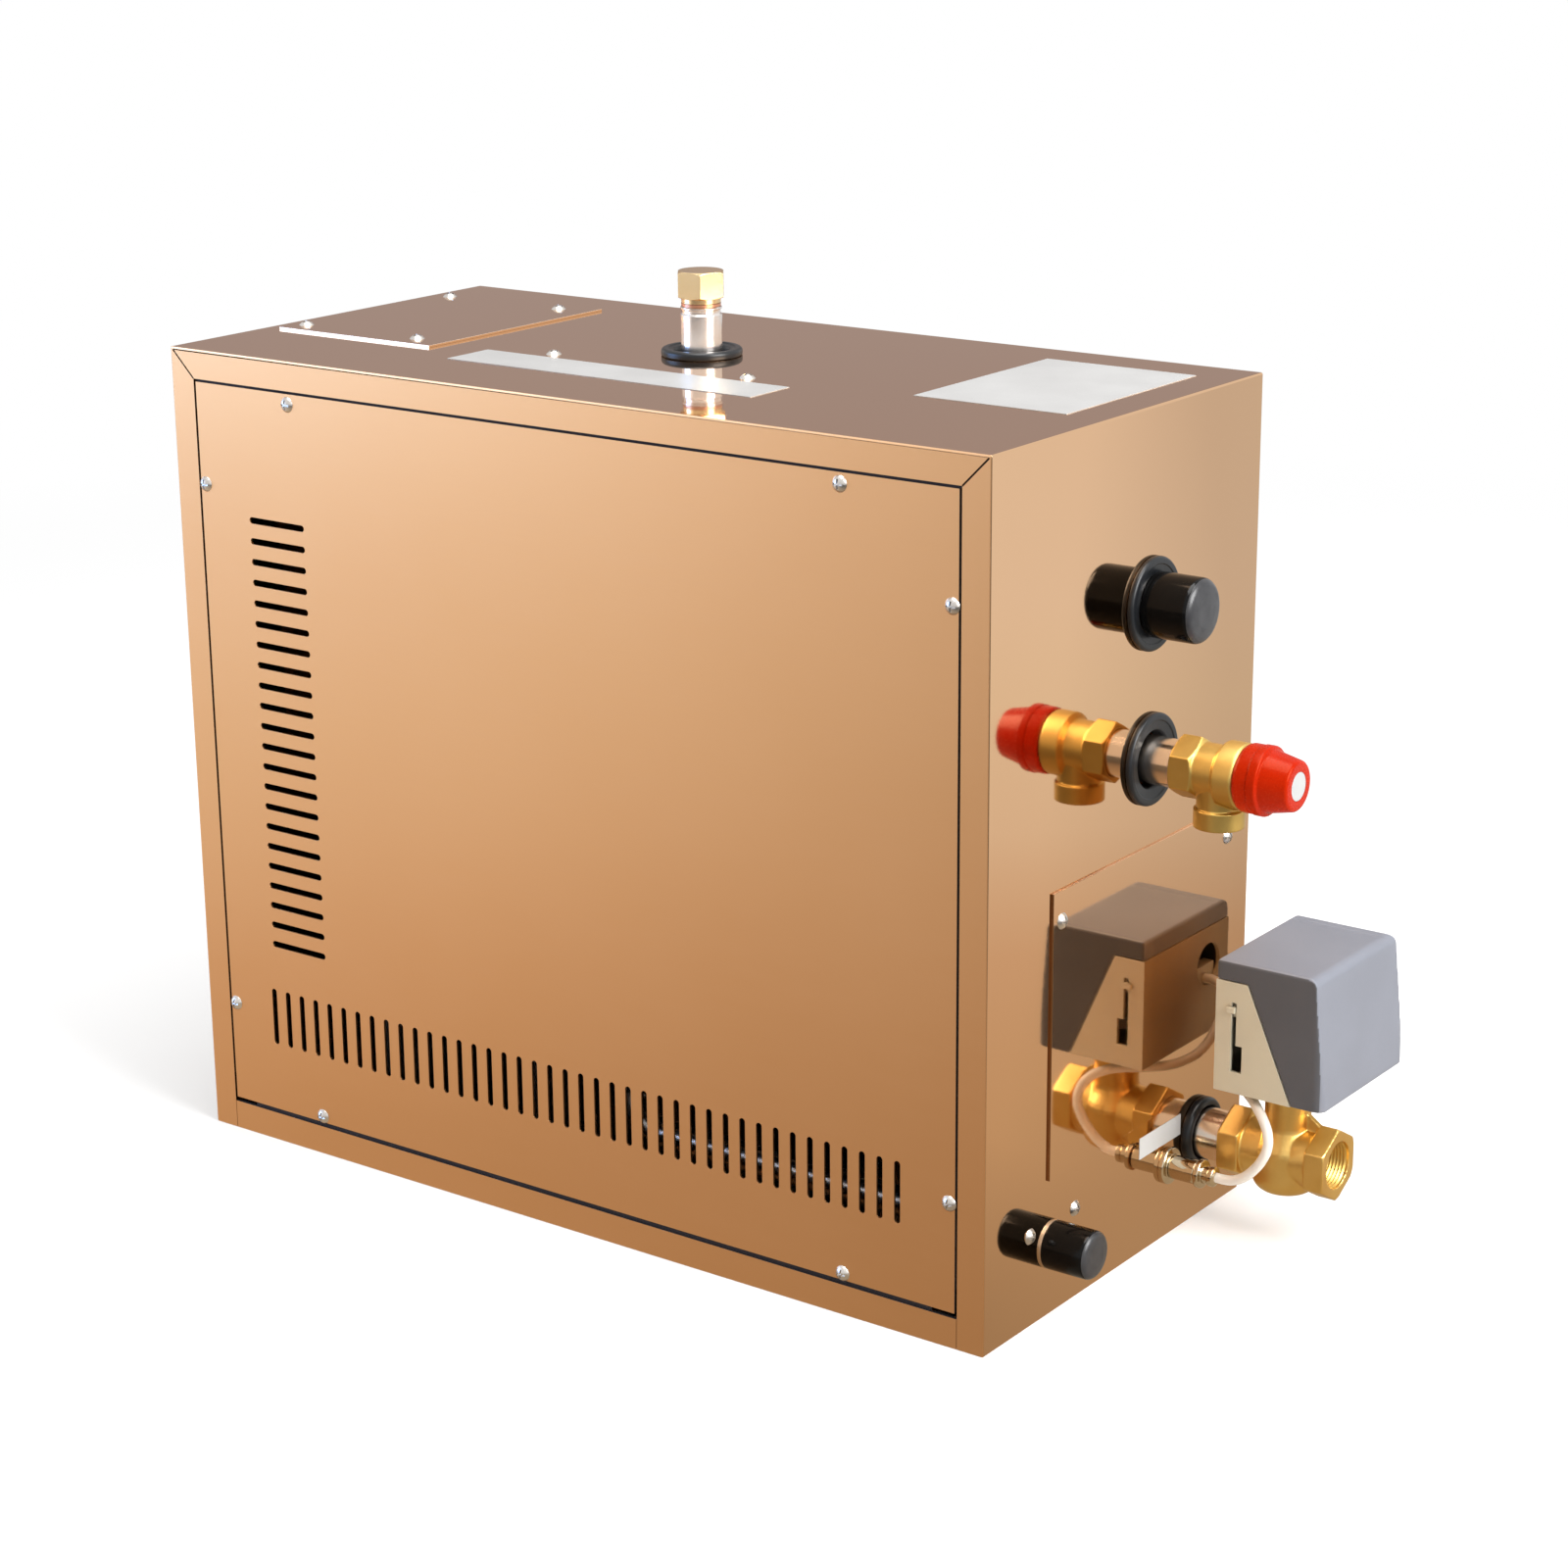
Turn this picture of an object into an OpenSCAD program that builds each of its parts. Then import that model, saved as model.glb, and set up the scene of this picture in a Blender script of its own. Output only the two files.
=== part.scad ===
// Steam generator for a sauna: a folded metal casing with a boiler on the right and controls on the left.
// The origin is the middle of the casing's footprint, the front faces -Y and the pipe fittings face +X.

/* [Casing] */
// Width of the casing
body_w = 500; // [480:5:560]
// Depth of the casing
body_d = 241; // [238:1:280]
// Height of the casing
body_h = 427; // [422:1:480]
// Thickness of the casing sheet
sheet_t = 1.2; // [1:0.1:1.5]
// Width of the frame round the front panel
flange_w = 15.2; // [14:0.2:17]
// Gap between the frame and the front panel
panel_gap = 1.4; // [0.8:0.1:1.6]
// Width of the ledges behind the front panel and the rear panel
ledge_w = 12; // [11:0.5:14]
// Height of the tray's front lip
lip_h = 15.4; // [14:0.2:17]
// Height of the tray's side and rear lips
tray_h = 20; // [16:1:22]

/* [Front panel] */
// Number of level slots at the left
louvre_n = 22; // [10:1:22]
// Distance of the highest level slot from the top of the casing
louvre_top = 84.7; // [80:0.1:120]
// Length of the level slots
louvre_len = 38; // [30:1:45]
// Number of upright slots along the foot
grille_n = 41; // [20:1:41]
// Width of the casing that the upright slots leave free
grille_side = 98; // [92:1:140]
// Length of the upright slots
grille_len = 31.5; // [25:0.5:36]
// Width of every slot
slot_w = 3.4; // [3:0.1:4]

/* [Covers] */
// Space between the access cover in the right side and the rear of the casing
access_back = 17; // [15:1:37]
// Space between the access cover and the relief valve's axis
access_gap = 43.8; // [40:0.2:60]
// Width of the wiring cover on the top
wiring_w = 105; // [95:1:108]
// Space between the wiring cover and the rear of the casing
wiring_back = 33; // [27:1:52]
// Diameter of a screw's shank
screw_d = 3.8; // [3:0.1:4]
// Diameter of a screw's head
screw_head_d = 8; // [7:0.1:9]

/* [Hanging on a wall] */
// Distance between the wall holes across
hang_w = 400; // [380:5:420]
// Distance of the upper wall holes from the top of the casing
hang_top = 27; // [22:1:47]
// Diameter of a wall hole
hang_d = 7; // [6:0.5:9]

/* [Tank] */
// Space that the tank leaves free in the depth of the casing
tank_room = 51; // [46:1:59]
// Thickness of the tank's wall
tank_t = 1.5; // [1.2:0.1:2]
// Height of the tank's floor over the ground
stand_h = 95; // [92:1:100]
// Space between the tank and the top of the casing
tank_head = 42; // [38:1:50]
// Outer diameter of the steam pipe and the drain pipe
pipe_d = 26.4; // [26:0.1:27]
// Outer diameter of the fill pipe
fill_d = 15; // [14:0.5:16]
// Diameter of the heater flange
heater_d = 110; // [104:1:114]

/* [Service tube] */
// Outer diameter of the service tube
tube_d = 20.9; // [20.5:0.1:22]
// Height of the service tube over the casing
tube_rise = 24.6; // [20:0.2:40]
// Width of the plug's hexagon across its flats
plug_af = 22.5; // [21:0.5:24]
// Height of the plug's hexagon
plug_h = 13.5; // [10:0.5:16]

/* [Steam outlet and relief valve] */
// Diameter of the steam cap
steam_cap_d = 31.6; // [31:0.1:34]
// Length of the steam cap
steam_cap_l = 26.5; // [25.5:0.5:32]
// Outer diameter of the large rubber rings
ring_d = 45.4; // [44:0.2:48]
// Outer diameter of the relief valve's nipple
relief_pipe_d = 23.4; // [23:0.1:24]
// Width of the relief valve's hexagon across its flats
relief_af = 27; // [27:0.5:30]
// Diameter of the relief valve's bonnet flange
relief_flange_d = 32; // [31:0.5:34]
// Inner diameter of the relief valve's outlet thread
relief_bore_d = 18.6; // [17:0.1:19]
// Largest diameter of the relief knob
knob_d = 33.8; // [32:0.2:34]

/* [Drain valve] */
// Width of the drain valve's hexagons across their flats
valve_af = 33; // [32:0.5:36]
// Inner diameter of the drain valve's outlet thread
valve_bore_d = 24.1; // [23:0.1:25]
// Diameter of the drain valve's belly
belly_d = 34; // [33:0.5:36]
// Diameter of the drain valve's ball
ball_d = 25; // [23:0.5:25]
// Diameter of the drain valve's stem
stem_d = 9.8; // [8:0.2:11]

/* [Actuator] */
// Width of the actuator, out from the casing
act_w = 60; // [58:1:64]
// Depth of the actuator, along the casing
act_d = 87; // [84:1:90]
// Height of the actuator
act_h = 68.2; // [66:1:76]
// Thickness of the actuator's plastic walls
act_t = 2; // [1.6:0.1:2.4]
// Height of the band of the cover over the base
band_h = 10.1; // [8:0.5:12]
// Travel of the manual lever
lever_stroke = 30; // [24:1:30]
// Diameter of the drive sector at its pitch circle
sector_d = 48; // [44:1:48]
// Number of teeth that the sector would have as a full wheel
sector_n = 48; // [40:4:56]

/* [Lead] */
// Diameter of the white lead
lead_d = 5; // [4:0.1:5]
// Diameter of the plug's coupling ring
coupling_d = 12.2; // [11.6:0.2:14]

/* [Water inlet] */
// Outer diameter of the inlet's thread
inlet_d = 20.9; // [20:0.1:21]
// Diameter of the inlet cap
inlet_cap_d = 24; // [23.8:0.1:26]
// Length of the inlet cap
inlet_cap_l = 24; // [22:0.2:30]

/* [Controls] */
// Distance of the partition from the left side
partition_x = 125; // [122:1:135]
// Width of the control board
board_w = 130; // [110:5:140]
// Space between the control board and the terminals
board_gap = 28; // [18:1:58]

/* [Hidden] */
$fn = 48;
// overrun of every cut, gap of parts that only lie close, play of a fit and seat of a part at rest
over = 1;
gap = 0.3;
play = 0.05;
seat = 0.2;

// places measured from the left side, from the front and from the ground
function fx(x) = x - body_w / 2;
function fy(y) = y - body_d / 2;
wall_x = body_w / 2;
tank_x = 243;
tank_front = 35;
tank_d = body_d - tank_room;
tank_r = tank_d / 2;
tank_y = tank_front + tank_r;
tank_top = body_h - tank_head;
tank_l = tank_top - stand_h;
steam_off = 8.6;
steam_share = 0.821034;
relief_off = 10;
relief_share = 0.557931;
drain_share = 0.709474;
inlet_share = 0.749474;
socket_off = 30.4;
steam_y = tank_y + steam_off;
steam_z = stand_h + steam_share * tank_l;
relief_y = tank_y + relief_off;
relief_z = stand_h + relief_share * tank_l;
drain_y = tank_y + drain_share * tank_r;
drain_z = 47;
inlet_y = tank_y - inlet_share * tank_r;
inlet_z = 36;
socket_y = drain_y - socket_off;
socket_z = 38.6;
access_y = 54;
access_z = 70;
access_w = body_d - access_y - access_back;
access_h = relief_z - access_z - access_gap;
wiring_x = 10;
wiring_y = 69;
wiring_d = body_d - wiring_y - wiring_back;

// front panel and its screws
lip_gap = 2.6;
panel_half = body_w / 2 - flange_w - panel_gap;
panel_low = lip_h + lip_gap;
panel_top = body_h - flange_w - panel_gap;
tab_h = 14.6;
tab_inset = 30;
screw_inset = 3.4;
screw_top_inset = 5.4;
screw_corner = 80.5;
screw_low = 73;
screw_drop = 69.5;
screw_grip = 7;
screw_head_h = 2.3;
recess_w = 1;
recess_share = 0.62;
louvre_x = 50;
louvre_z = 113;
louvre_pitch = (body_h - louvre_z - louvre_top) / (louvre_n - 1);
grille_z = 55.6;
grille_pitch = (body_w - grille_side) / (grille_n - 1);
mitre_w = 0.9;
mitre_stop = 2;

// rear panel
rear_inset = 8;
rear_low = 60;
rear_high_drop = 27;
rear_mid_x = 100;
rear_foot = 10;
hang_low = 60;
hang_h = body_h - hang_low - hang_top;

// covers
cover_side = 7.5;
access_drop = 15;
access_lap = 12;
wiring_far = 19.5;
wiring_end = 12.8;
opening_lap = 6;
hook_w = 20;
hook_t = 1;
hook_drop = 6;
label_t = 0.3;

// rubber rings
ring_t = 3.2;
ring_in_t = 3;
ring_edge = 1;
ring_neck_d = 36;
drain_ring_d = 35.6;
drain_ring_t = 5;
drain_neck_d = 30.6;
tube_ring_d = 40.8;
tube_ring_t = 4;
tube_neck_d = 31;
tube_ring_bore_d = 26.4;
relief_ring_play = 3.6;
cable_ring_d = 26;
cable_neck_d = 20;
cable_bore_d = 10;
cable_ring_t = 3;

// service tube and plug
tube_bore_d = 16.8;
plug_shank_d = 16.6;
plug_shank_l = 12;
plug_neck_d = 19.8;
plug_neck_h = 2.4;
plug_edge = 2;
washer_h = 1.5;
plug_turn = 6;
socket_d = 28;
socket_h = 10;

// pipes
pipe_wall = 2.4;
pipe_bend = 30;
pipe_seat = 4;
fill_wall = 1;
fill_bend = 24;
stub_l = 14;
stub_wall = 4;
steam_end = 22;
cap_end_t = 3;
cap_round = 3.5;

// relief valve, by distance from the casing's side
relief_hex_u = 17.5;
relief_hex_l = 12;
relief_edge = 2;
relief_neck_d = 26;
relief_flange_u = 42.2;
relief_end_u = 52.8;
relief_seat_u = 30;
relief_orifice_d = 12;
relief_chamber_d = 20;
relief_pipe_u = 26;
relief_pipe_wall = 3;
relief_out_u = 38.4;
relief_out_d = 24.5;
relief_out_low = 26.5;
relief_out_top = 17.3;
relief_out_neck_d = 22;
relief_thread_l = 12;
relief_port_d = 12;
bonnet_in = 4;
bonnet_l = 11;
bonnet_d = 18;
bonnet_wall = 2.5;
bonnet_end_t = 4;
relief_disc_d = 17;
relief_disc_t = 2.7;
relief_stem_d = 4;
relief_stem_l = 38.5;
relief_lift = 1.5;
spring_d = 9;
spring_wire_d = 1.5;
spring_turns = 6;
spring_sides = 6;
spring_steps = 8;
knob_collar_l = 12;
knob_cone_d = 29.4;
knob_end_d = 24.2;
knob_end_u = 79.7;
knob_round = 2;
knob_bore_d = 19;
knob_bore_l = 14;
knob_pin_d = 5;
knob_pin_l = 6;
knob_disc_d = 14;
knob_disc_t = 0.4;

// drain valve, by distance from the casing's side
valve_u = 19.6;
valve_hex_l = 11.8;
stem_u = 50.5;
outlet_u = 68;
outlet_l = 11;
barrel_d = 30;
valve_thread_l = 14;
outlet_thread_l = 12;
valve_port_d = 17;
pocket_l = 28;
neck_d = 23;
neck_top = 27;
bonnet_ring_top = 35.4;
bonnet_groove_z = 30;
bonnet_groove_h = 1.5;
bonnet_groove = 1.2;
belly_low = 19;
belly_round = 8;
belly_top = 3;
neck_low = 16;
web_t = 3;
valve_edge = 1.5;
web_share = 0.55;
stem_tang_w = 4;
stem_tang_l = 9;
ball_slot = 3.6;
stem_top = 65;

// actuator, by distance from the corner of its base
act_inner = 29;
act_front = 24.4;
act_draft = 5;
act_back_draft = 3;
act_round = 5;
act_edge = 1.5;
cheek_top = 17;
cheek_low = 42.3;
slot_x = 8.9;
slot_narrow = 2.6;
slot_wide = 6.1;
slot_end = 0.9;
slot_mid = 25.1;
slot_high = 47.3;
lever_z = 42.1;
lever_h = 3;
lever_w = 1.8;
lever_head_w = 4.4;
lever_head_t = 1.4;
lever_plate = 12;
lever_plate_t = 1.7;
hole_y = 65;
hole_z = 37.6;
hole_d = 22.5;
lead_y = 65;
lead_z = 29.6;
clamp_t = 6;
clamp_w = 18;
clamp_h = 14;
groove_y = 73.5;
groove_w = 2.4;
groove_t = 0.8;
gear_z = 12;
gear_t = 4;
gear_backlash = 0.3;
root_share = 1.25;
hub_share = 1.2;
sector_tip_share = 0.7;
pinion_tip_share = 1;
sector_turn = 135;
sector_span = 112;
hub_d = 18;
pinion_ratio = 4;
pinion_shaft_d = 4;
shaft_l = 7;
motor_z = 17;
motor_flange_t = 1.5;
motor_flange_w = 10;
motor_ears = 49;
motor_d = 36;
motor_l = 16;
post_d = 6;
post_gap = 42;

// lead, plug and socket, by distance from the casing's side
socket_flange_d = 19;
socket_flange_t = 3;
socket_body_d = 12;
socket_body_l = 14;
nose_d = 9.3;
nose_end = 9.8;
plug_front = 10.2;
coupling_u = 3.5;
coupling_l = 14.5;
coupling_groove = 0.5;
groove_shares = [0.4, 0.6];
plug_rim_d = 14.5;
plug_rim_end = 21;
plug_neck2_d = 9;
plug_neck2_end = 25;
plug_clamp_d = 10;
plug_end = 28.2;
nut_t = 4;
nut_edge = 1;
nut_af = 17;
inlet_nut_d = 24;
inlet_nut_t = 1;
// points of the white lead, from the clamp in the actuator to the plug on the casing's side
LEAD = [[273.5, 117.5, 112], [268.5, 117.5, 112], [263, 116.5, 110], [260, 114, 105], [259.5, 111, 98.5],
    [260, 107, 91.5], [261.5, 102, 85], [264, 95.5, 80], [267.5, 88, 77.5], [272, 80.5, 76.5],
    [277.5, 73.5, 76.5], [283.5, 67, 77], [289.5, 60.5, 77.5], [295.5, 54.5, 76.5], [301, 50.5, 73],
    [304.5, 48.5, 67.5], [305.5, 47, 61], [303, 46.5, 54], [298, 46.5, 47], [292.5, 46.5, 42],
    [287.5, 46.5, 39.5], [283.2, 46.5, 38.6], [278.2, 46.5, 38.6]];
lead_sides = 10;
// places of the casing's side and of the drain valve that those points are given for
lead_side = 250;
lead_drain = 76.9;

// water inlet, by distance from the casing's side
inlet_end_u = 15;
inlet_bore_d = 15;
inlet_hole_d = 21.6;
cap_start_u = 1.2;
inlet_cap_end_t = 2.5;
inlet_cap_round = 2.5;
inlet_body_d = 26;
inlet_body_l = 42;
inlet_plate_t = 1.5;
inlet_plate_low = 12;
inlet_plate_h = 29.2;
inlet_plate_y = 25.8;
inlet_plate_w = 52;
inlet_screw_y = 19.8;
inlet_screw_gap = 40;
inlet_screw_z = 11;
spigot_d = 12.8;
spigot_l = 17;
coil_u = 28;
coil_w = 34;
coil_d = 30;
coil_h = 34;
coil_z = 14;
armature_d = 11;
armature_h = 52;
plunger_d = 9;
plunger_h = 22;
plunger_z = 4.5;
flow_d = 8;
jet_d = 4;

// tank, stand and bracket
tank_round = 10;
stand_in = 34;
stand_w = tank_d - stand_in;
stand_t = 2;
stand_foot = 14;
stand_clear = 8;
bracket_t = 1.5;
bracket_fore = 48;
bracket_y = tank_y - bracket_fore;
bracket_w = 16;
bracket_l = 152;
bracket_off = 2.25;
bracket_screw_gap = 121.5;
bracket_leg = 38;
bracket_foot = 12;

// heater, probe and thermostat
heater_up = 45;
heater_out = 14;
heater_z = stand_h + heater_up;
heater_reach = tank_r + heater_out;
heater_stub_d = 76;
heater_ring_t = 6;
heater_plate_t = 8;
bolt_n = 6;
bolt_circle = 92;
bolt_d = 8;
bolt_af = 13;
bolt_head_h = 5.3;
nut_h = 6;
element_d = 8;
element_in = 12;
element_l = tank_d - element_in;
element_w = 24;
element_pitch = 14;
element_tail = 14;
tail_d = 5;
probe_x = 43;
probe_d = 20;
probe_af = 27;
probe_h = 8;
insulator_d = 16;
insulator_h = 12;
rod_d = 4;
rod_ring = 5.5;
rod_share = 0.517;
rod_step_share = 0.155;
rod_l = rod_share * tank_l;
rod_step = rod_step_share * tank_l;
limit_turn = 40;
limit_pad_d = 26;
limit_pad_t = 2;
limit_d = 24;
limit_l = 14;
button_d = 5.8;
button_l = 9;
button_out = 2.5;

// controls
partition_gap = 3;
partition_foot = 12;
standoff_l = 10;
standoff_d = 7;
board_t = 1.6;
board_y = 50;
board_z = 160;
terminal_drop = 59;
board_h = body_h - terminal_drop - board_z - board_gap;
supply_z = board_h / 2;
board_edge = 8;
relay_n = 4;
relay_pitch = 28;
relay_w = 20;
relay_h = 28;
relay_t = 14;
relay_z = 16;
supply_w = 42;
supply_t = 28;
supply_y = 16;
can_n = 3;
can_d = 12;
can_l = 14;
can_pitch = 16;
contactor_low = 19;
contactor_high = 56;
contactor_back = 52;
contactor_w = 45;
contactor_d = 70;
contactor_h = 75;
contactor_y = 60;
contactor_z = 45;
contactor_gap = 10;
terminal_y = 88;
terminal_l = 100;
terminal_d = 42;
terminal_h = 26;
terminal_z = body_h - terminal_drop;
terminal_n = 8;
terminal_wall = 2;
well_t = 12;
cable_y = 100;
cable_gap = 50;
cable_drop = 42;
cable_z = body_h - cable_drop;

// derived places
stem_x = wall_x + stem_u;
act_x = stem_x - act_inner;
act_y = fy(drain_y) - act_front;
act_z = drain_z + bonnet_ring_top;
tube_top = body_h + tube_rise;
gear_m = sector_d / sector_n;
pinion_n = sector_n / pinion_ratio;
gear_gap = sector_d / 2 + sector_d / 2 / pinion_ratio;
panel_y = fy(0);
top_screws = [[wiring_x + cover_side, wiring_x + wiring_w - wiring_far],
    [wiring_y + wiring_end, wiring_y + wiring_d - wiring_end]];

// turns a child so that its +Z points out of the casing's right side, at a place on that side
module at_wall(y, z) translate([wall_x, fy(y), z]) rotate([0, 90, 0]) children();
module at_left(y, z) translate([fx(0), fy(y), z]) rotate([0, -90, 0]) children();
module at_front(x, z) translate([x, panel_y, z]) rotate([90, 0, 0]) children();
module at_rear(x, z) translate([x, fy(body_d), z]) rotate([-90, 0, 0]) children();
module at_stem() translate([stem_x, fy(drain_y), drain_z]) children();
module at_act() translate([act_x, act_y, act_z]) children();
module at_tank() translate([fx(tank_x), fy(tank_y), 0]) children();

// points on an arc, from angle a to angle b
function arc(x, y, r, a, b, n = 6) =
    [for (i = [0:n]) [x + r * cos(a + (b - a) * i / n), y + r * sin(a + (b - a) * i / n)]];

module box(x0, x1, y0, y1, z0, z1) translate([x0, y0, z0]) cube([x1 - x0, y1 - y0, z1 - z0]);

module ring(outer, inner, h) {
  difference() {
    cylinder(d = outer, h = h);
    translate([0, 0, -over]) cylinder(d = inner, h = h + 2 * over);
  }
}

// hexagon with a cone turned on each end
module hexagon(af, h, edge) {
  vertex = af / 2 / cos(30);
  intersection() {
    cylinder(r = vertex, h = h, $fn = 6);
    rotate_extrude() polygon([[0, 0], [vertex - edge, 0], [vertex, edge / 2], [vertex, h - edge / 2],
        [vertex - edge, h], [0, h]]);
  }
}

// domed screw with a cross recess, its seat at the origin and its shank down
module pan_screw(grip = screw_grip) {
  head_r = screw_head_d / 2;
  dome = (head_r * head_r + screw_head_h * screw_head_h) / (2 * screw_head_h);
  difference() {
    union() {
      intersection() {
        cylinder(r = head_r, h = screw_head_h);
        translate([0, 0, screw_head_h - dome]) sphere(r = dome);
      }
      translate([0, 0, -grip]) cylinder(d = screw_d, h = grip + screw_head_h / 2);
    }
    for (a = [0, 90]) rotate(a) translate([-recess_share * head_r, -recess_w / 2, screw_head_h / 2])
      cube([2 * recess_share * head_r, recess_w, screw_head_h]);
  }
}

// rubber ring that grips the edge of a hole in the casing sheet
module grommet(outer, t, neck, bore) {
  back = sheet_t + play;
  rotate_extrude() polygon([[bore / 2, -back - ring_in_t], [neck / 2 + 2 * ring_edge, -back - ring_in_t],
      [neck / 2 + 2 * ring_edge, -back], [neck / 2, -back], [neck / 2, 0], [outer / 2, 0],
      [outer / 2, t - ring_edge], [outer / 2 - ring_edge, t], [outer / 2 - 3 * ring_edge, t],
      [outer / 2 - 3 * ring_edge, t - ring_edge / 2], [bore / 2 + ring_edge, t - ring_edge / 2],
      [bore / 2, t - ring_edge]]);
}

// push-on cap with a rounded closed end
module push_cap(outer, bore, l, end_t, edge) {
  rotate_extrude() polygon(concat([[bore / 2, 0], [outer / 2, 0]],
      arc(outer / 2 - edge, l - edge, edge, 0, 90), [[0, l], [0, l - end_t], [bore / 2, l - end_t]]));
}

function screw_hole() = screw_d + 2 * play;
function panel_spots() = [for (s = [-1, 1]) each [
    [s * (body_w / 2 - screw_corner), panel_top - screw_top_inset],
    [s * (body_w / 2 - screw_corner), panel_low + screw_inset],
    [s * (panel_half - screw_inset), screw_low],
    [s * (panel_half - screw_inset), body_h - screw_drop]]];
function rear_spots() = [for (s = [-1, 1]) each [
    [s * (body_w / 2 - rear_inset), rear_low],
    [s * (body_w / 2 - rear_inset), body_h / 2],
    [s * (body_w / 2 - rear_inset), body_h - rear_high_drop],
    [s * rear_mid_x, rear_foot],
    [s * rear_mid_x, body_h - rear_inset]]];
function access_spots() = [for (y = [cover_side, access_w - cover_side])
    [access_y + y, access_z + access_h - access_drop]];
function inlet_spots() = [for (i = [0, 1])
    [inlet_y - inlet_screw_y + i * inlet_screw_gap, inlet_z + inlet_screw_z]];
function wiring_spots() = [for (x = top_screws[0]) for (y = top_screws[1]) [fx(x), fy(y)]];
function bracket_spots() = [for (s = [-1, 1])
    [fx(tank_x - bracket_off) + s * bracket_screw_gap / 2, fy(bracket_y + bracket_w / 2)]];

// casing

module frame_sheet(y, edge, low, inner_w) {
  difference() {
    box(fx(edge), -fx(edge), y, y + sheet_t, low, body_h - edge);
    box(fx(inner_w), -fx(inner_w), y - over, y + sheet_t + over, low - over, body_h - inner_w);
  }
}

module shell_cuts() {
  for (p = [[steam_y, steam_z, ring_neck_d], [relief_y, relief_z, ring_neck_d],
      [drain_y, drain_z, drain_neck_d], [inlet_y, inlet_z, inlet_hole_d],
      [socket_y, socket_z, socket_body_d]])
    at_wall(p[0], p[1]) translate([0, 0, -2 * sheet_t]) cylinder(d = p[2] + 2 * play, h = 4 * sheet_t);
  for (p = concat(access_spots(), inlet_spots()))
    at_wall(p[0], p[1]) translate([0, 0, -2 * sheet_t]) cylinder(d = screw_hole(), h = 4 * sheet_t);
  for (i = [0, 1]) at_left(cable_y + i * cable_gap, cable_z)
    translate([0, 0, -2 * sheet_t]) cylinder(d = cable_neck_d + 2 * play, h = 4 * sheet_t);
  for (p = panel_spots()) at_front(p[0], p[1])
    translate([0, 0, -3 * sheet_t]) cylinder(d = screw_hole(), h = 2 * sheet_t + play);
  for (p = rear_spots()) at_rear(p[0], p[1])
    translate([0, 0, -3 * sheet_t]) cylinder(d = screw_hole(), h = 2 * sheet_t + play);
  for (p = concat(wiring_spots(), bracket_spots()))
    translate([p[0], p[1], body_h - 2 * sheet_t]) cylinder(d = screw_hole(), h = 4 * sheet_t);
  at_tank() translate([0, 0, body_h - 2 * sheet_t]) cylinder(d = tube_neck_d + 2 * play, h = 4 * sheet_t);
  box(wall_x - 2 * sheet_t, wall_x + over, fy(access_y + cover_side + opening_lap),
      fy(access_y + access_w - cover_side - opening_lap), access_z + access_lap,
      access_z + access_h - access_lap);
  box(fx(top_screws[0][0] + opening_lap), fx(top_screws[0][1] - opening_lap),
      fy(top_screws[1][0] + opening_lap), fy(top_screws[1][1] - opening_lap),
      body_h - 2 * sheet_t, body_h + over);
}

module shell() {
  color("#b98d74") difference() {
    union() {
      difference() {
        box(fx(0), -fx(0), fy(0), fy(body_d), 0, body_h);
        box(fx(sheet_t), -fx(sheet_t), fy(-over), fy(body_d + over), -over, body_h - sheet_t);
      }
      frame_sheet(fy(0), 0, 0, flange_w);
      frame_sheet(fy(sheet_t), sheet_t, lip_h + tab_h + gap, flange_w + ledge_w);
      frame_sheet(fy(body_d - 2 * sheet_t), 0, tray_h + gap, sheet_t + ledge_w);
    }
    for (s = [-1, 1]) translate([s * body_w / 2, fy(-over), body_h]) rotate([0, s * 45, 0])
      box(-mitre_w / 2, mitre_w / 2, 0, sheet_t + over, -flange_w * sqrt(2), -mitre_stop);
    shell_cuts();
  }
}

module base_tray() {
  side = sheet_t + gap;
  color("#a87f68") difference() {
    union() {
      box(fx(side), -fx(side), fy(sheet_t + gap), fy(body_d - sheet_t), 0, sheet_t);
      box(fx(flange_w + gap), -fx(flange_w + gap), fy(0), fy(2 * sheet_t), 0, sheet_t);
      box(fx(flange_w + gap), -fx(flange_w + gap), fy(0), fy(sheet_t), 0, lip_h);
      box(fx(flange_w + gap), -fx(flange_w + gap), fy(0), fy(2 * sheet_t), lip_h - sheet_t, lip_h);
      box(fx(tab_inset), -fx(tab_inset), fy(sheet_t), fy(2 * sheet_t), lip_h - sheet_t, lip_h + tab_h);
      for (x = [fx(side), -fx(side) - sheet_t])
        box(x, x + sheet_t, fy(partition_gap), fy(body_d - 2 * sheet_t), 0, tray_h);
      box(fx(side), -fx(side), fy(body_d - 2 * sheet_t), fy(body_d - sheet_t), 0, tray_h);
    }
    for (p = panel_spots()) at_front(p[0], p[1])
      translate([0, 0, -3 * sheet_t]) cylinder(d = screw_hole(), h = 2 * sheet_t + play);
    for (p = rear_spots()) at_rear(p[0], p[1])
      translate([0, 0, -3 * sheet_t]) cylinder(d = screw_hole(), h = 2 * sheet_t + play);
  }
}

module rear_panel() {
  color("#b0876f") difference() {
    box(fx(sheet_t + gap), -fx(sheet_t + gap), fy(body_d - sheet_t), fy(body_d), gap,
        body_h - sheet_t - gap);
    for (p = rear_spots()) at_rear(p[0], p[1])
      translate([0, 0, -2 * sheet_t]) cylinder(d = screw_hole(), h = 4 * sheet_t);
    for (x = [-hang_w / 2, hang_w / 2]) for (z = [hang_low, hang_low + hang_h]) at_rear(x, z)
      translate([0, 0, -2 * sheet_t]) cylinder(d = hang_d, h = 4 * sheet_t);
  }
}

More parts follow.
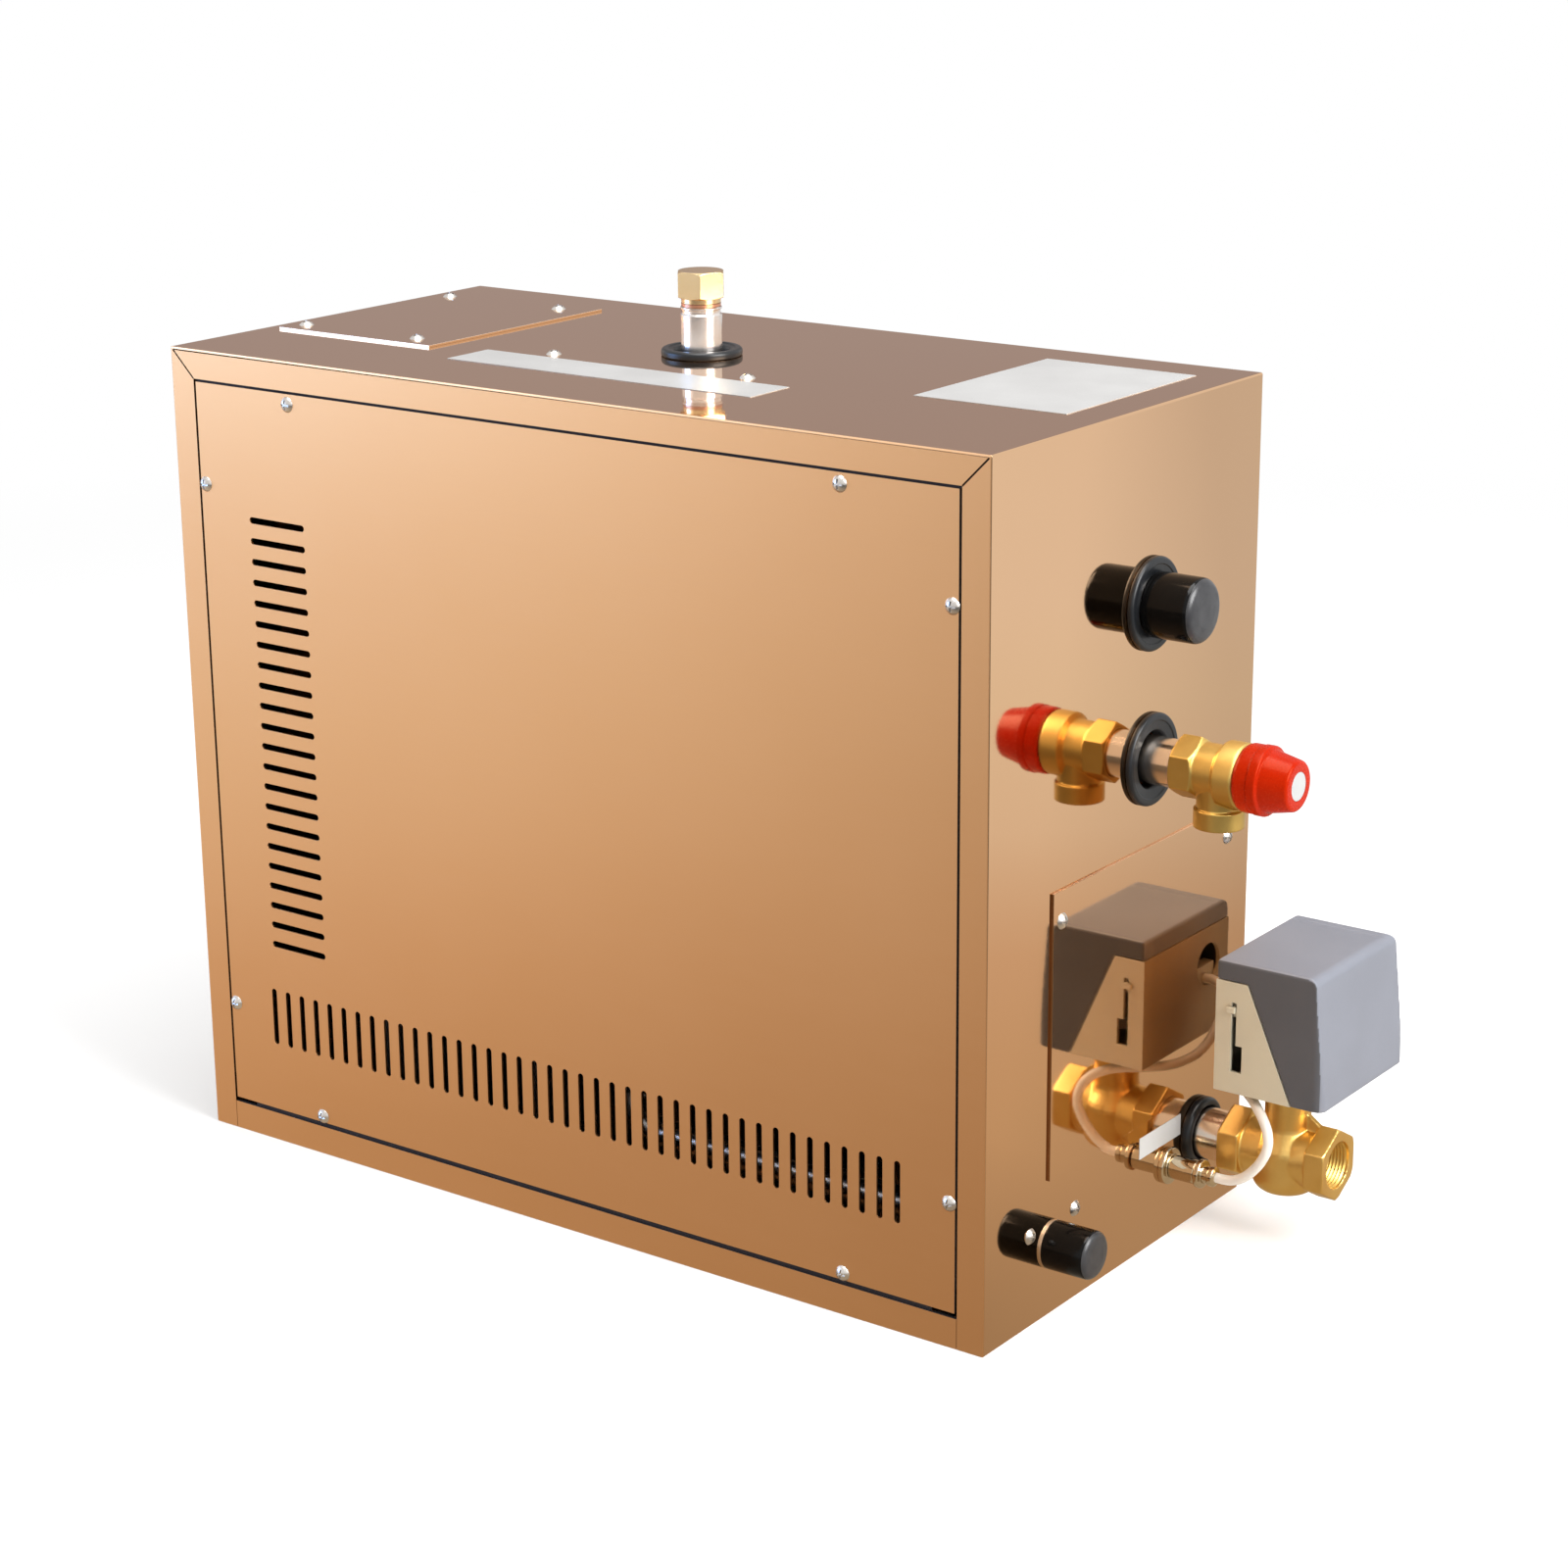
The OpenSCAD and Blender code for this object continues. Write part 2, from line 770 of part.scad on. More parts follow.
// slot with round ends, lying along +X from its left end
module slot(l) {
  translate([slot_w / 2, -slot_w / 2]) square([l - slot_w, slot_w]);
  for (x = [slot_w / 2, l - slot_w / 2]) translate([x, 0]) circle(d = slot_w);
}

module front_panel() {
  color("#c9a089") at_front(0, 0) translate([0, 0, -sheet_t]) linear_extrude(sheet_t) difference() {
    translate([-panel_half, panel_low]) square([2 * panel_half, panel_top - panel_low]);
    for (p = panel_spots()) translate(p) circle(d = screw_hole());
    for (i = [0:louvre_n - 1]) translate([fx(louvre_x), louvre_z + i * louvre_pitch]) slot(louvre_len);
    for (i = [0:grille_n - 1]) translate([(i - (grille_n - 1) / 2) * grille_pitch, grille_z])
      rotate(90) slot(grille_len);
  }
}

module front_panel_screws() {
  color("#d8d4cf") for (p = panel_spots()) at_front(p[0], p[1]) pan_screw();
}

module casing_screws() {
  color("#d8d4cf") {
    for (p = rear_spots()) at_rear(p[0], p[1]) pan_screw();
    for (p = access_spots()) at_wall(p[0], p[1]) translate([0, 0, sheet_t]) pan_screw();
    for (p = inlet_spots()) at_wall(p[0], p[1]) pan_screw();
    for (p = wiring_spots()) translate([p[0], p[1], body_h + sheet_t]) pan_screw();
    for (p = bracket_spots()) translate([p[0], p[1], body_h]) pan_screw();
  }
}

module access_cover() {
  low = access_z + access_lap;
  color("#b98d74") difference() {
    union() {
      box(wall_x, wall_x + sheet_t, fy(access_y), fy(access_y + access_w), access_z, access_z + access_h);
      for (s = [-1, 1]) translate([0, fy(access_y + access_w / 2) + s * access_w / 4 - hook_w / 2, 0]) {
        box(wall_x - sheet_t - gap - hook_t, wall_x + play, 0, hook_w, low + gap, low + gap + hook_t);
        box(wall_x - sheet_t - gap - hook_t, wall_x - sheet_t - gap, 0, hook_w, low - hook_drop,
            low + gap + hook_t);
      }
    }
    for (p = access_spots()) at_wall(p[0], p[1])
      translate([0, 0, -over]) cylinder(d = screw_hole(), h = sheet_t + 2 * over);
  }
}

module wiring_cover() {
  color("#b98d74") difference() {
    box(fx(wiring_x), fx(wiring_x + wiring_w), fy(wiring_y), fy(wiring_y + wiring_d), body_h,
        body_h + sheet_t);
    for (p = wiring_spots()) translate([p[0], p[1], body_h - over])
      cylinder(d = screw_hole(), h = sheet_t + 2 * over);
  }
}

strip_x = 144;
strip_fore = 32;
strip_y = bracket_y - strip_fore;
strip_w = 189;
strip_h = 31;
sheet_x = 394;
sheet_y = 96;
sheet_w = 84;
sheet_back = 27;
sheet_h = body_d - sheet_y - sheet_back;
sticker_off = 28;
sticker_y = socket_y - sticker_off;
sticker_z = 51;
sticker_w = 40;
sticker_h = 11;

module blank_labels() {
  color("#e9e6e1") {
    box(fx(strip_x), fx(strip_x + strip_w), fy(strip_y), fy(strip_y + strip_h), body_h, body_h + label_t);
    box(fx(sheet_x), fx(sheet_x + sheet_w), fy(sheet_y), fy(sheet_y + sheet_h), body_h, body_h + label_t);
    box(wall_x, wall_x + label_t, fy(sticker_y), fy(sticker_y + sticker_w), sticker_z,
        sticker_z + sticker_h);
  }
}

module partition() {
  x = fx(partition_x);
  top = body_h - sheet_t;
  color("#c8c8c6") {
    box(x, x + sheet_t, fy(partition_gap), fy(body_d - partition_gap), sheet_t, top);
    box(x - partition_foot, x + sheet_t, fy(partition_gap), fy(body_d - partition_gap), sheet_t,
        2 * sheet_t);
    box(x - partition_foot, x + sheet_t, fy(partition_gap), fy(body_d - partition_gap), top - sheet_t,
        top);
  }
}

module cable_grommets() {
  color("#2b2b2d") for (i = [0, 1]) at_left(cable_y + i * cable_gap, cable_z)
    grommet(cable_ring_d, cable_ring_t, cable_neck_d, cable_bore_d);
}

// tank and what stands on it

// a short socket on the tank's side that points to the right
module side_stub(y, z, d, l) {
  translate([0, y - tank_y, z]) rotate([0, 90, 0])
    translate([0, 0, tank_r - tank_round]) cylinder(d = d, h = l + tank_round);
}

module tank_form(r, low, top, edge) {
  rotate_extrude($fn = 96) polygon(concat([[0, low]], arc(r - edge, low + edge, edge, -90, 0),
      arc(r - edge, top - edge, edge, 0, 90), [[0, top]]));
}

module tank() {
  color("#c3c6c8") at_tank() difference() {
    union() {
      tank_form(tank_r, stand_h, tank_top, tank_round);
      side_stub(steam_y, steam_z, pipe_d + 2 * stub_wall, stub_l);
      side_stub(relief_y, relief_z, relief_pipe_d + 2 * stub_wall, stub_l);
      side_stub(tank_y, heater_z, heater_stub_d, heater_reach - tank_r);
      translate([heater_reach - heater_ring_t, 0, heater_z]) rotate([0, 90, 0])
        cylinder(d = heater_d, h = heater_ring_t);
      rotate(limit_turn) side_stub(tank_y, relief_z, limit_pad_d, limit_pad_t);
      translate([0, 0, tank_top - tank_t]) cylinder(d = socket_d, h = tank_t + socket_h);
      translate([0, drain_y - tank_y, stand_h - stub_l])
          cylinder(d = pipe_d + 2 * stub_wall, h = stub_l + tank_t);
      translate([0, inlet_y - tank_y, stand_h - stub_l])
          cylinder(d = fill_d + 2 * stub_wall, h = stub_l + tank_t);
    }
    tank_form(tank_r - tank_t, stand_h + tank_t, tank_top - tank_t, tank_round - tank_t);
    side_stub(steam_y, steam_z, pipe_d + 2 * play, stub_l + over);
    side_stub(relief_y, relief_z, relief_pipe_d + 2 * play, stub_l + over);
    side_stub(tank_y, heater_z, heater_stub_d - 2 * stub_wall, heater_reach - tank_r + over);
    for (i = [0:bolt_n - 1]) translate([heater_reach - heater_ring_t - over, 0, heater_z])
      rotate([0, 90, 0]) rotate(i * 360 / bolt_n) translate([bolt_circle / 2, 0, 0])
        cylinder(d = bolt_d + 2 * play, h = heater_ring_t + 2 * over);
    translate([0, 0, tank_top - 2 * tank_t])
        cylinder(d = tube_d + 2 * play, h = 2 * tank_t + socket_h + over);
    translate([-probe_x, 0, tank_top - 2 * tank_t])
        cylinder(d = probe_d + 2 * play, h = 2 * tank_t + over);
    translate([0, drain_y - tank_y, stand_h - stub_l - over])
        cylinder(d = pipe_d + 2 * play, h = stub_l + 2 * tank_t + over);
    translate([0, inlet_y - tank_y, stand_h - stub_l - over])
        cylinder(d = fill_d + 2 * play, h = stub_l + 2 * tank_t + over);
  }
}

module tank_stand() {
  front = inlet_y + fill_d / 2 + stand_clear;
  back = drain_y - pipe_d / 2 - stand_clear;
  color("#b9bcbe") translate([fx(tank_x), 0, 0]) {
    box(-stand_w / 2, stand_w / 2, fy(front), fy(back), stand_h - stand_t, stand_h);
    for (s = [0, 1]) mirror([s, 0, 0]) {
      box(stand_w / 2 - stand_t, stand_w / 2, fy(front), fy(back), sheet_t, stand_h);
      box(stand_w / 2 - stand_t, stand_w / 2 + stand_foot, fy(front), fy(back), sheet_t,
          sheet_t + stand_t);
    }
  }
}

module top_bracket() {
  top = body_h - sheet_t;
  y0 = fy(bracket_y);
  y1 = fy(bracket_y + bracket_w);
  color("#b9bcbe") difference() {
    translate([fx(tank_x), 0, 0]) {
      box(-bracket_l / 2, bracket_l / 2, y0, y1, top - bracket_t, top);
      for (s = [0, 1]) mirror([s, 0, 0]) {
        box(bracket_leg, bracket_leg + bracket_t, y0, y1, tank_top, top);
        box(bracket_leg - bracket_foot, bracket_leg + bracket_t, y0, y1, tank_top, tank_top + bracket_t);
      }
    }
    for (p = bracket_spots()) translate([p[0], p[1], top - bracket_t - over])
      cylinder(d = screw_hole(), h = bracket_t + 2 * over);
  }
}

module service_tube() {
  color("#c9c4bf") at_tank() translate([0, 0, tank_top]) ring(tube_d, tube_bore_d, tube_top - tank_top);
}

module plug_washer() {
  color("#b87345") at_tank() translate([0, 0, tube_top + seat])
    ring(plug_neck_d + 2 * play, plug_shank_d + 4 * play, washer_h);
}

module hex_plug() {
  low = tube_top + 2 * seat + washer_h;
  color("#c29a3e") at_tank() rotate(plug_turn) difference() {
    union() {
      translate([0, 0, low - plug_shank_l]) cylinder(d = plug_shank_d, h = plug_shank_l + plug_neck_h);
      translate([0, 0, low]) cylinder(d = plug_neck_d, h = plug_neck_h);
      translate([0, 0, low + plug_neck_h]) hexagon(plug_af, plug_h, plug_edge);
    }
    translate([0, 0, low - plug_shank_l - over]) cylinder(d = plug_shank_d / 2, h = plug_shank_l);
  }
}

module service_grommet() {
  color("#2b2b2d") at_tank() translate([0, 0, body_h])
    grommet(tube_ring_d, tube_ring_t, tube_neck_d, tube_ring_bore_d);
}

module steam_pipe() {
  low = body_w - tank_x - tank_r + pipe_seat;
  color("#c9c4bf") at_wall(steam_y, steam_z) translate([0, 0, -low])
    ring(pipe_d, pipe_d - 2 * pipe_wall, low + steam_end);
}

module steam_cap() {
  color("#1b1b1c") at_wall(steam_y, steam_z) translate([0, 0, ring_t + play])
    push_cap(steam_cap_d, pipe_d + 2 * seat, steam_cap_l, cap_end_t, cap_round);
}

module steam_grommet() {
  color("#3a3a3d") at_wall(steam_y, steam_z) grommet(ring_d, ring_t, ring_neck_d, pipe_d + 2 * gap);
}

// relief valve

module relief_nipple() {
  low = body_w - tank_x - tank_r + pipe_seat;
  color("#c9c4bf") at_wall(relief_y, relief_z) translate([0, 0, -low])
    ring(relief_pipe_d, relief_pipe_d - 2 * relief_pipe_wall, low + relief_pipe_u);
}

module relief_grommet() {
  color("#3a3a3d") at_wall(relief_y, relief_z)
      grommet(ring_d, ring_t, ring_neck_d, relief_pipe_d + relief_ring_play);
}

module relief_body() {
  color("#c79a3a") at_wall(relief_y, relief_z) difference() {
    union() {
      translate([0, 0, relief_hex_u]) hexagon(relief_af, relief_hex_l, relief_edge);
      translate([0, 0, relief_hex_u + relief_edge])
        cylinder(d = relief_neck_d, h = relief_flange_u - relief_hex_u - relief_edge);
      rotate_extrude() polygon([[0, relief_flange_u - relief_edge],
          [relief_neck_d / 2, relief_flange_u - relief_edge], [relief_flange_d / 2, relief_flange_u],
          [relief_flange_d / 2, relief_end_u - relief_edge / 2],
          [relief_flange_d / 2 - relief_edge / 2, relief_end_u], [0, relief_end_u]]);
      difference() {
        translate([0, 0, relief_out_u]) rotate([0, 90, 0]) {
          cylinder(d = relief_out_neck_d, h = relief_out_low - over);
          translate([0, 0, relief_out_top])
              cylinder(d = relief_out_d, h = relief_out_low - relief_out_top);
        }
        translate([0, 0, relief_end_u]) cylinder(d = knob_d + 2 * gap, h = relief_out_d);
      }
    }
    translate([0, 0, relief_hex_u - over])
      cylinder(d = relief_pipe_d + 2 * play, h = relief_pipe_u - relief_hex_u + over + seat);
    translate([0, 0, relief_hex_u]) cylinder(d = relief_orifice_d, h = relief_end_u - relief_hex_u);
    translate([0, 0, relief_seat_u]) cylinder(d = relief_chamber_d, h = relief_end_u);
    translate([0, 0, relief_out_u]) rotate([0, 90, 0]) {
      cylinder(d = relief_port_d, h = relief_out_low);
      translate([0, 0, relief_out_low - relief_thread_l])
        cylinder(d = relief_bore_d, h = relief_thread_l + over);
    }
  }
}

module relief_bonnet() {
  color("#b98c33") at_wall(relief_y, relief_z) difference() {
    union() {
      translate([0, 0, relief_end_u - bonnet_in])
        cylinder(d = relief_chamber_d - 2 * play, h = bonnet_in);
      translate([0, 0, relief_end_u - over]) cylinder(d = bonnet_d, h = bonnet_l + over);
    }
    translate([0, 0, relief_end_u - bonnet_in - over])
      cylinder(d = bonnet_d - 2 * bonnet_wall, h = bonnet_in + bonnet_l + over - bonnet_end_t);
    translate([0, 0, relief_end_u]) cylinder(d = relief_stem_d + 2 * play, h = bonnet_l + over);
  }
}

module relief_stem() {
  color("#b8bbbd") at_wall(relief_y, relief_z) translate([0, 0, relief_seat_u + gap]) {
    cylinder(d = relief_disc_d, h = relief_disc_t);
    cylinder(d = relief_stem_d, h = relief_stem_l);
  }
}

// tube of a given radius through points, closed with a flat end at each end
function unit(v) = v / norm(v);
function path_way(p, i) = i == 0 ? unit(p[1] - p[0]) : i == len(p) - 1 ? unit(p[i] - p[i - 1])
    : unit(unit(p[i + 1] - p[i]) + unit(p[i] - p[i - 1]));
function across(v, w) = unit(v - (v * w) * w);
module sweep(p, r, sides, start) {
  n = len(p);
  ways = [for (i = [0:n - 1]) path_way(p, i)];
  flats = [for (i = 0, v = across(start, ways[0]); i < n;
      i = i + 1, v = i < n ? across(v, ways[i]) : v) v];
  rims = [for (i = [0:n - 1]) for (k = [0:sides - 1])
      p[i] + r * (flats[i] * cos(k * 360 / sides) + cross(ways[i], flats[i]) * sin(k * 360 / sides))];
  walls = [for (i = [0:n - 2]) for (k = [0:sides - 1])
      let (a = i * sides + k, b = i * sides + (k + 1) % sides)
      each [[a, a + sides, b], [b, a + sides, b + sides]]];
  ends = [for (k = [1:sides - 2]) each [[0, k, k + 1],
      [(n - 1) * sides, (n - 1) * sides + k + 1, (n - 1) * sides + k]]];
  polyhedron(points = rims, faces = concat(walls, ends));
}

module relief_spring() {
  start = relief_seat_u + gap + relief_disc_t + relief_lift + gap + spring_wire_d / 2;
  end = relief_end_u + bonnet_l - bonnet_end_t - gap - spring_wire_d / 2;
  steps = spring_turns * spring_steps;
  coil = [for (i = [0:steps]) [spring_d / 2 * cos(i * 360 / spring_steps),
      spring_d / 2 * sin(i * 360 / spring_steps), start + (end - start) * i / steps]];
  color("#9ea3a6") at_wall(relief_y, relief_z) sweep(coil, spring_wire_d / 2, spring_sides, [1, 0, 0]);
}

module relief_knob() {
  foot = relief_end_u + gap;
  r = knob_d / 2;
  step_u = foot + knob_collar_l;
  color("#d8231a") at_wall(relief_y, relief_z) rotate_extrude() polygon(concat(
      [[knob_bore_d / 2, foot]], [[r - knob_round / 2, foot], [r, foot + knob_round]],
      arc(r - knob_round, step_u - knob_round, knob_round, 0, 90),
      [[knob_cone_d / 2, step_u + knob_round / 2]],
      arc(knob_end_d / 2 - knob_round, knob_end_u - knob_round, knob_round, 10, 90),
      [[knob_disc_d / 2, knob_end_u], [knob_disc_d / 2, knob_end_u - knob_disc_t],
      [0, knob_end_u - knob_disc_t], [0, foot + knob_bore_l + knob_pin_l],
      [knob_pin_d / 2, foot + knob_bore_l + knob_pin_l],
      [knob_pin_d / 2, foot + knob_bore_l], [knob_bore_d / 2, foot + knob_bore_l]]));
}

// drain valve

// pipe that comes down from the tank's floor and turns to the right
module elbow_pipe(y, z, d, bore, bend, end_x) {
  translate([fx(tank_x), fy(y), 0]) {
    translate([0, 0, z + bend]) cylinder(d = d, h = stand_h + tank_t - z - bend);
    translate([bend, 0, z + bend]) rotate([90, 0, 0]) rotate([0, 0, 180])
      rotate_extrude(angle = 90) translate([bend, 0]) circle(d = d);
    translate([bend, 0, z]) rotate([0, 90, 0]) cylinder(d = d, h = end_x - fx(tank_x) - bend);
  }
}

module bent_pipe(y, z, d, bore, bend, end_x) {
  difference() {
    elbow_pipe(y, z, d, bore, bend, end_x);
    translate([fx(tank_x), fy(y), 0]) {
      translate([0, 0, z + bend]) cylinder(d = bore, h = stand_h + tank_t - z - bend + over);
      translate([bend, 0, z + bend]) rotate([90, 0, 0]) rotate([0, 0, 180])
        rotate_extrude(angle = 90) translate([bend, 0]) circle(d = bore);
      translate([bend, 0, z]) rotate([0, 90, 0]) cylinder(d = bore, h = end_x - fx(tank_x) - bend + over);
    }
  }
}

module drain_pipe() {
  color("#d5d2ce") bent_pipe(drain_y, drain_z, pipe_d, pipe_d - 2 * pipe_wall, pipe_bend,
      wall_x + valve_u + valve_thread_l - seat);
}

module drain_grommet() {
  color("#232325") at_wall(drain_y, drain_z)
    grommet(drain_ring_d, drain_ring_t, drain_neck_d, pipe_d + 2 * gap);
}

module valve_revolve() {
  n = 6;
  rotate_extrude() polygon(concat([[0, -belly_low]],
      arc(belly_d / 2 - belly_round, -belly_low + belly_round, belly_round, -90, 0),
      [for (i = [0:n]) [neck_d / 2 + (belly_d - neck_d) / 4 * (1 + cos(180 * i / n)),
          belly_top + (neck_low - belly_top) * i / n]],
      [[neck_d / 2, bonnet_groove_z], [neck_d / 2 - bonnet_groove, bonnet_groove_z],
      [neck_d / 2 - bonnet_groove, bonnet_groove_z + bonnet_groove_h],
      [neck_d / 2, bonnet_groove_z + bonnet_groove_h], [neck_d / 2, bonnet_ring_top],
      [0, bonnet_ring_top]]));
}

module valve_body() {
  color("#c08a3e") difference() {
    union() {
      at_wall(drain_y, drain_z) {
        translate([0, 0, valve_u]) hexagon(valve_af, valve_hex_l, valve_edge);
        translate([0, 0, outlet_u]) hexagon(valve_af, outlet_l, valve_edge);
        translate([0, 0, valve_u + web_t]) cylinder(d = barrel_d, h = outlet_u - valve_u);
      }
      at_stem() {
        valve_revolve();
        translate([0, web_t / 2, 0]) rotate([90, 0, 0]) linear_extrude(web_t)
          polygon([[0, 0], [outlet_u - stem_u + web_t, 0], [outlet_u - stem_u + web_t, belly_d / 2],
              [neck_d / 2, neck_top * web_share + belly_d / 4], [0, neck_top]]);
      }
    }
    at_wall(drain_y, drain_z) {
      translate([0, 0, valve_u - over]) cylinder(d = pipe_d + 2 * play, h = valve_thread_l + over);
      translate([0, 0, valve_u]) cylinder(d = valve_port_d, h = outlet_u + outlet_l - valve_u);
      translate([0, 0, stem_u - pocket_l / 2]) cylinder(d = ball_d + 4 * play, h = pocket_l);
      translate([0, 0, outlet_u + outlet_l - outlet_thread_l])
        cylinder(d = valve_bore_d, h = outlet_thread_l + over);
    }
    at_stem() cylinder(d = stem_d + 2 * play, h = bonnet_ring_top + over);
  }
}

module valve_ball() {
  color("#cfd2d4") at_stem() difference() {
    sphere(d = ball_d);
    rotate([90, 0, 0]) translate([0, 0, -ball_d]) cylinder(d = valve_port_d, h = 2 * ball_d);
    box(-ball_d, ball_d, -stem_tang_w / 2 - play, stem_tang_w / 2 + play, ball_d / 2 - ball_slot, ball_d);
  }
}

module ball_seats() {
  inner = valve_port_d / 2 + play;
  outer = ball_d / 2 + play;
  cone = ball_d / 2 * sqrt(2) + seat;
  color("#efefea") at_stem() for (s = [-1, 1]) rotate([0, s * 90, 0])
    rotate_extrude() polygon([[inner, cone - inner], [outer, cone - outer], [outer, pocket_l / 2 - play],
        [inner, pocket_l / 2 - play]]);
}

module valve_stem() {
  color("#d9b45b") at_stem() {
    box(-stem_tang_l / 2, stem_tang_l / 2, -stem_tang_w / 2, stem_tang_w / 2,
        ball_d / 2 - ball_slot + play, ball_d / 2 + seat + play);
    translate([0, 0, ball_d / 2 + seat]) cylinder(d = stem_d, h = stem_top - ball_d / 2 - seat);
  }
}

// actuator

// body of the actuator with its drafted and rounded outline, drawn in by a wall
module act_form(wall, low = 0) {
  w = act_w - wall;
  d = act_d - wall;
  h = act_h - wall;
  r = act_round;
  e = act_edge;
  intersection() {
    translate([0, 0, low]) linear_extrude(h - low) polygon(concat(arc(wall + e, wall + e, e, 180, 270),
        arc(w - r, wall + r, r, 270, 360), arc(w - r, d - r, r, 0, 90), arc(wall + e, d - e, e, 90, 180)));
    translate([0, act_d, 0]) rotate([90, 0, 0]) linear_extrude(act_d)
        polygon(concat([[wall, low], [w, low]],
        arc(w - act_draft - r, h - r, r, 0, 90), arc(wall + e, h - e, e, 90, 180)));
    rotate([90, 0, 90]) linear_extrude(act_w) polygon(concat([[wall, low], [d, low]],
        arc(d - act_back_draft - r, h - r, r, 0, 90), arc(wall + e, h - e, e, 90, 180)));
  }
}

module cheek(extra) {
  high = act_h - band_h;
  polygon([[-over, -over], [cheek_low + extra, -over], [cheek_low + extra, 0], [cheek_top + extra, high],
      [-over, high + extra - gap]]);
}

module actuator_base() {
  high = act_h - band_h - gap;
  slot_low = lever_z - lever_stroke - slot_end;
  color("#cdb996") at_act() difference() {
    union() {
      box(0, act_t, act_t, act_d - act_t, 0, high);
      box(0, act_inner, act_t, act_d - act_t - act_round, 0, act_t);
      intersection() {
        act_form(act_t + gap);
        box(0, act_w, 0, act_d, 0, act_t);
      }
      translate([0, act_t, 0]) rotate([90, 0, 0]) linear_extrude(act_t) intersection() {
        cheek(0);
        square([act_w, high]);
      }
      for (s = [-1, 1]) translate([act_inner + s * post_gap / 2, act_front + gear_gap, 0])
        cylinder(d = post_d, h = motor_z);
    }
    translate([act_inner, act_front, -over]) cylinder(d = stem_d + 2 * gap, h = act_t + 2 * over);
    translate([-over, hole_y, hole_z]) rotate([0, 90, 0]) cylinder(d = hole_d, h = act_t + 2 * over);
    box(slot_x, slot_x + slot_narrow, -over, act_t + over, slot_low, slot_high);
    box(slot_x, slot_x + slot_wide, -over, act_t + over, slot_low, slot_mid);
  }
}

module actuator_cover() {
  color("#8c929e") at_act() difference() {
    act_form(0);
    act_form(act_t, -over);
    box(-over, act_t + gap, -over, act_d + over, -over, act_h - band_h);
    translate([0, act_t + over, 0]) rotate([90, 0, 0]) linear_extrude(act_t + 2 * over) cheek(gap);
    box(act_t, act_w, groove_y, groove_y + groove_w, act_h - groove_t, act_h + over);
  }
}

module manual_lever() {
  x = slot_x + slot_narrow / 2;
  color("#e3dcc8") at_act() {
    box(x + lever_w / 2 - lever_head_w, x + lever_w / 2, -gap - lever_head_t, -gap, lever_z,
        lever_z + lever_h);
    box(x - lever_w / 2, x + lever_w / 2, -gap - lever_head_t / 2, act_t + gap + lever_plate_t, lever_z,
        lever_z + lever_h);
    box(x - lever_plate / 2, x + lever_plate / 2, act_t + gap, act_t + gap + lever_plate_t,
        lever_z - lever_h, lever_z + 2 * lever_h);
  }
}

// points of one involute gear with its pitch circle of n modules, thinned by a backlash
function involute(base, t) = [base * (cos(t) + t * PI / 180 * sin(t)),
    base * (sin(t) - t * PI / 180 * cos(t))];
function turned(p, a) = [p[0] * cos(a) - p[1] * sin(a), p[0] * sin(a) + p[1] * cos(a)];
function roll_at(base, r) = r <= base ? 0 : sqrt(r * r / base / base - 1) * 180 / PI;
function tooth(n, tip_share) = let (pitch = n * gear_m / 2, base = pitch * cos(20),
    root = pitch - root_share * gear_m, tip = pitch + tip_share * gear_m,
    at = involute(base, roll_at(base, pitch)), lean = atan2(at[1], at[0]),
    half = 90 / n - gear_backlash / 2 / pitch * 90 / PI,
    flank = [for (i = [0:4]) turned(involute(base, roll_at(base, max(base, root)) +
        (roll_at(base, tip) - roll_at(base, max(base, root))) * i / 4), -lean - half)])
    concat([[root * cos(-lean - half), root * sin(-lean - half)]], flank,
        [for (i = [4:-1:0]) [flank[i][0], -flank[i][1]]],
        [[root * cos(lean + half), root * sin(lean + half)]]);
module gear(n, tip_share, first, last) {
  pitch = n * gear_m / 2;
  circle(r = pitch - hub_share * gear_m);
  for (i = [first:last]) rotate(i * 360 / n) polygon(concat([[0, 0]], tooth(n, tip_share)));
}

module drive_sector() {
  teeth = floor(sector_span / 2 * sector_n / 360);
  r = sector_d / 2;
  color("#e9e9e4") at_act() translate([act_inner, act_front, gear_z]) rotate(sector_turn) difference() {
    linear_extrude(gear_t) union() {
      circle(d = hub_d);
      intersection() {
        gear(sector_n, sector_tip_share, -teeth, teeth);
        polygon(concat([[0, 0]], arc(0, 0, 2 * r, -sector_span / 2, sector_span / 2)));
      }
    }
    translate([0, 0, -over]) cylinder(d = stem_d + 2 * play, h = gear_t + 2 * over);
  }
}

module motor_pinion() {
  color("#c9a24a") at_act() translate([act_inner, act_front + gear_gap, gear_z]) {
    rotate(180 / pinion_n) linear_extrude(gear_t) gear(pinion_n, pinion_tip_share, 0, pinion_n - 1);
    cylinder(d = pinion_shaft_d, h = motor_z - gear_z + shaft_l);
  }
}

module actuator_motor() {
  color("#b3b7ba") at_act() translate([act_inner, act_front + gear_gap, motor_z]) difference() {
    union() {
      box(-motor_ears / 2, motor_ears / 2, -motor_flange_w / 2, motor_flange_w / 2, 0, motor_flange_t);
      translate([0, 0, motor_flange_t / 2]) cylinder(d = motor_d, h = motor_l);
    }
    translate([0, 0, -over]) cylinder(d = pinion_shaft_d + 2 * play, h = shaft_l + over + gap);
  }
}

module lead_clamp() {
  color("#bfae8e") at_act() box(act_t, act_t + clamp_t, lead_y - clamp_w / 2, lead_y + clamp_w / 2,
      lead_z - clamp_h / 2, lead_z + clamp_h / 2);
}

// lead and its plug

module drain_lead() {
  color("#f2f0ec") translate([wall_x - lead_side, fy(drain_y) - lead_drain, 0])
    sweep(LEAD, lead_d / 2, lead_sides, [0, 0, 1]);
}

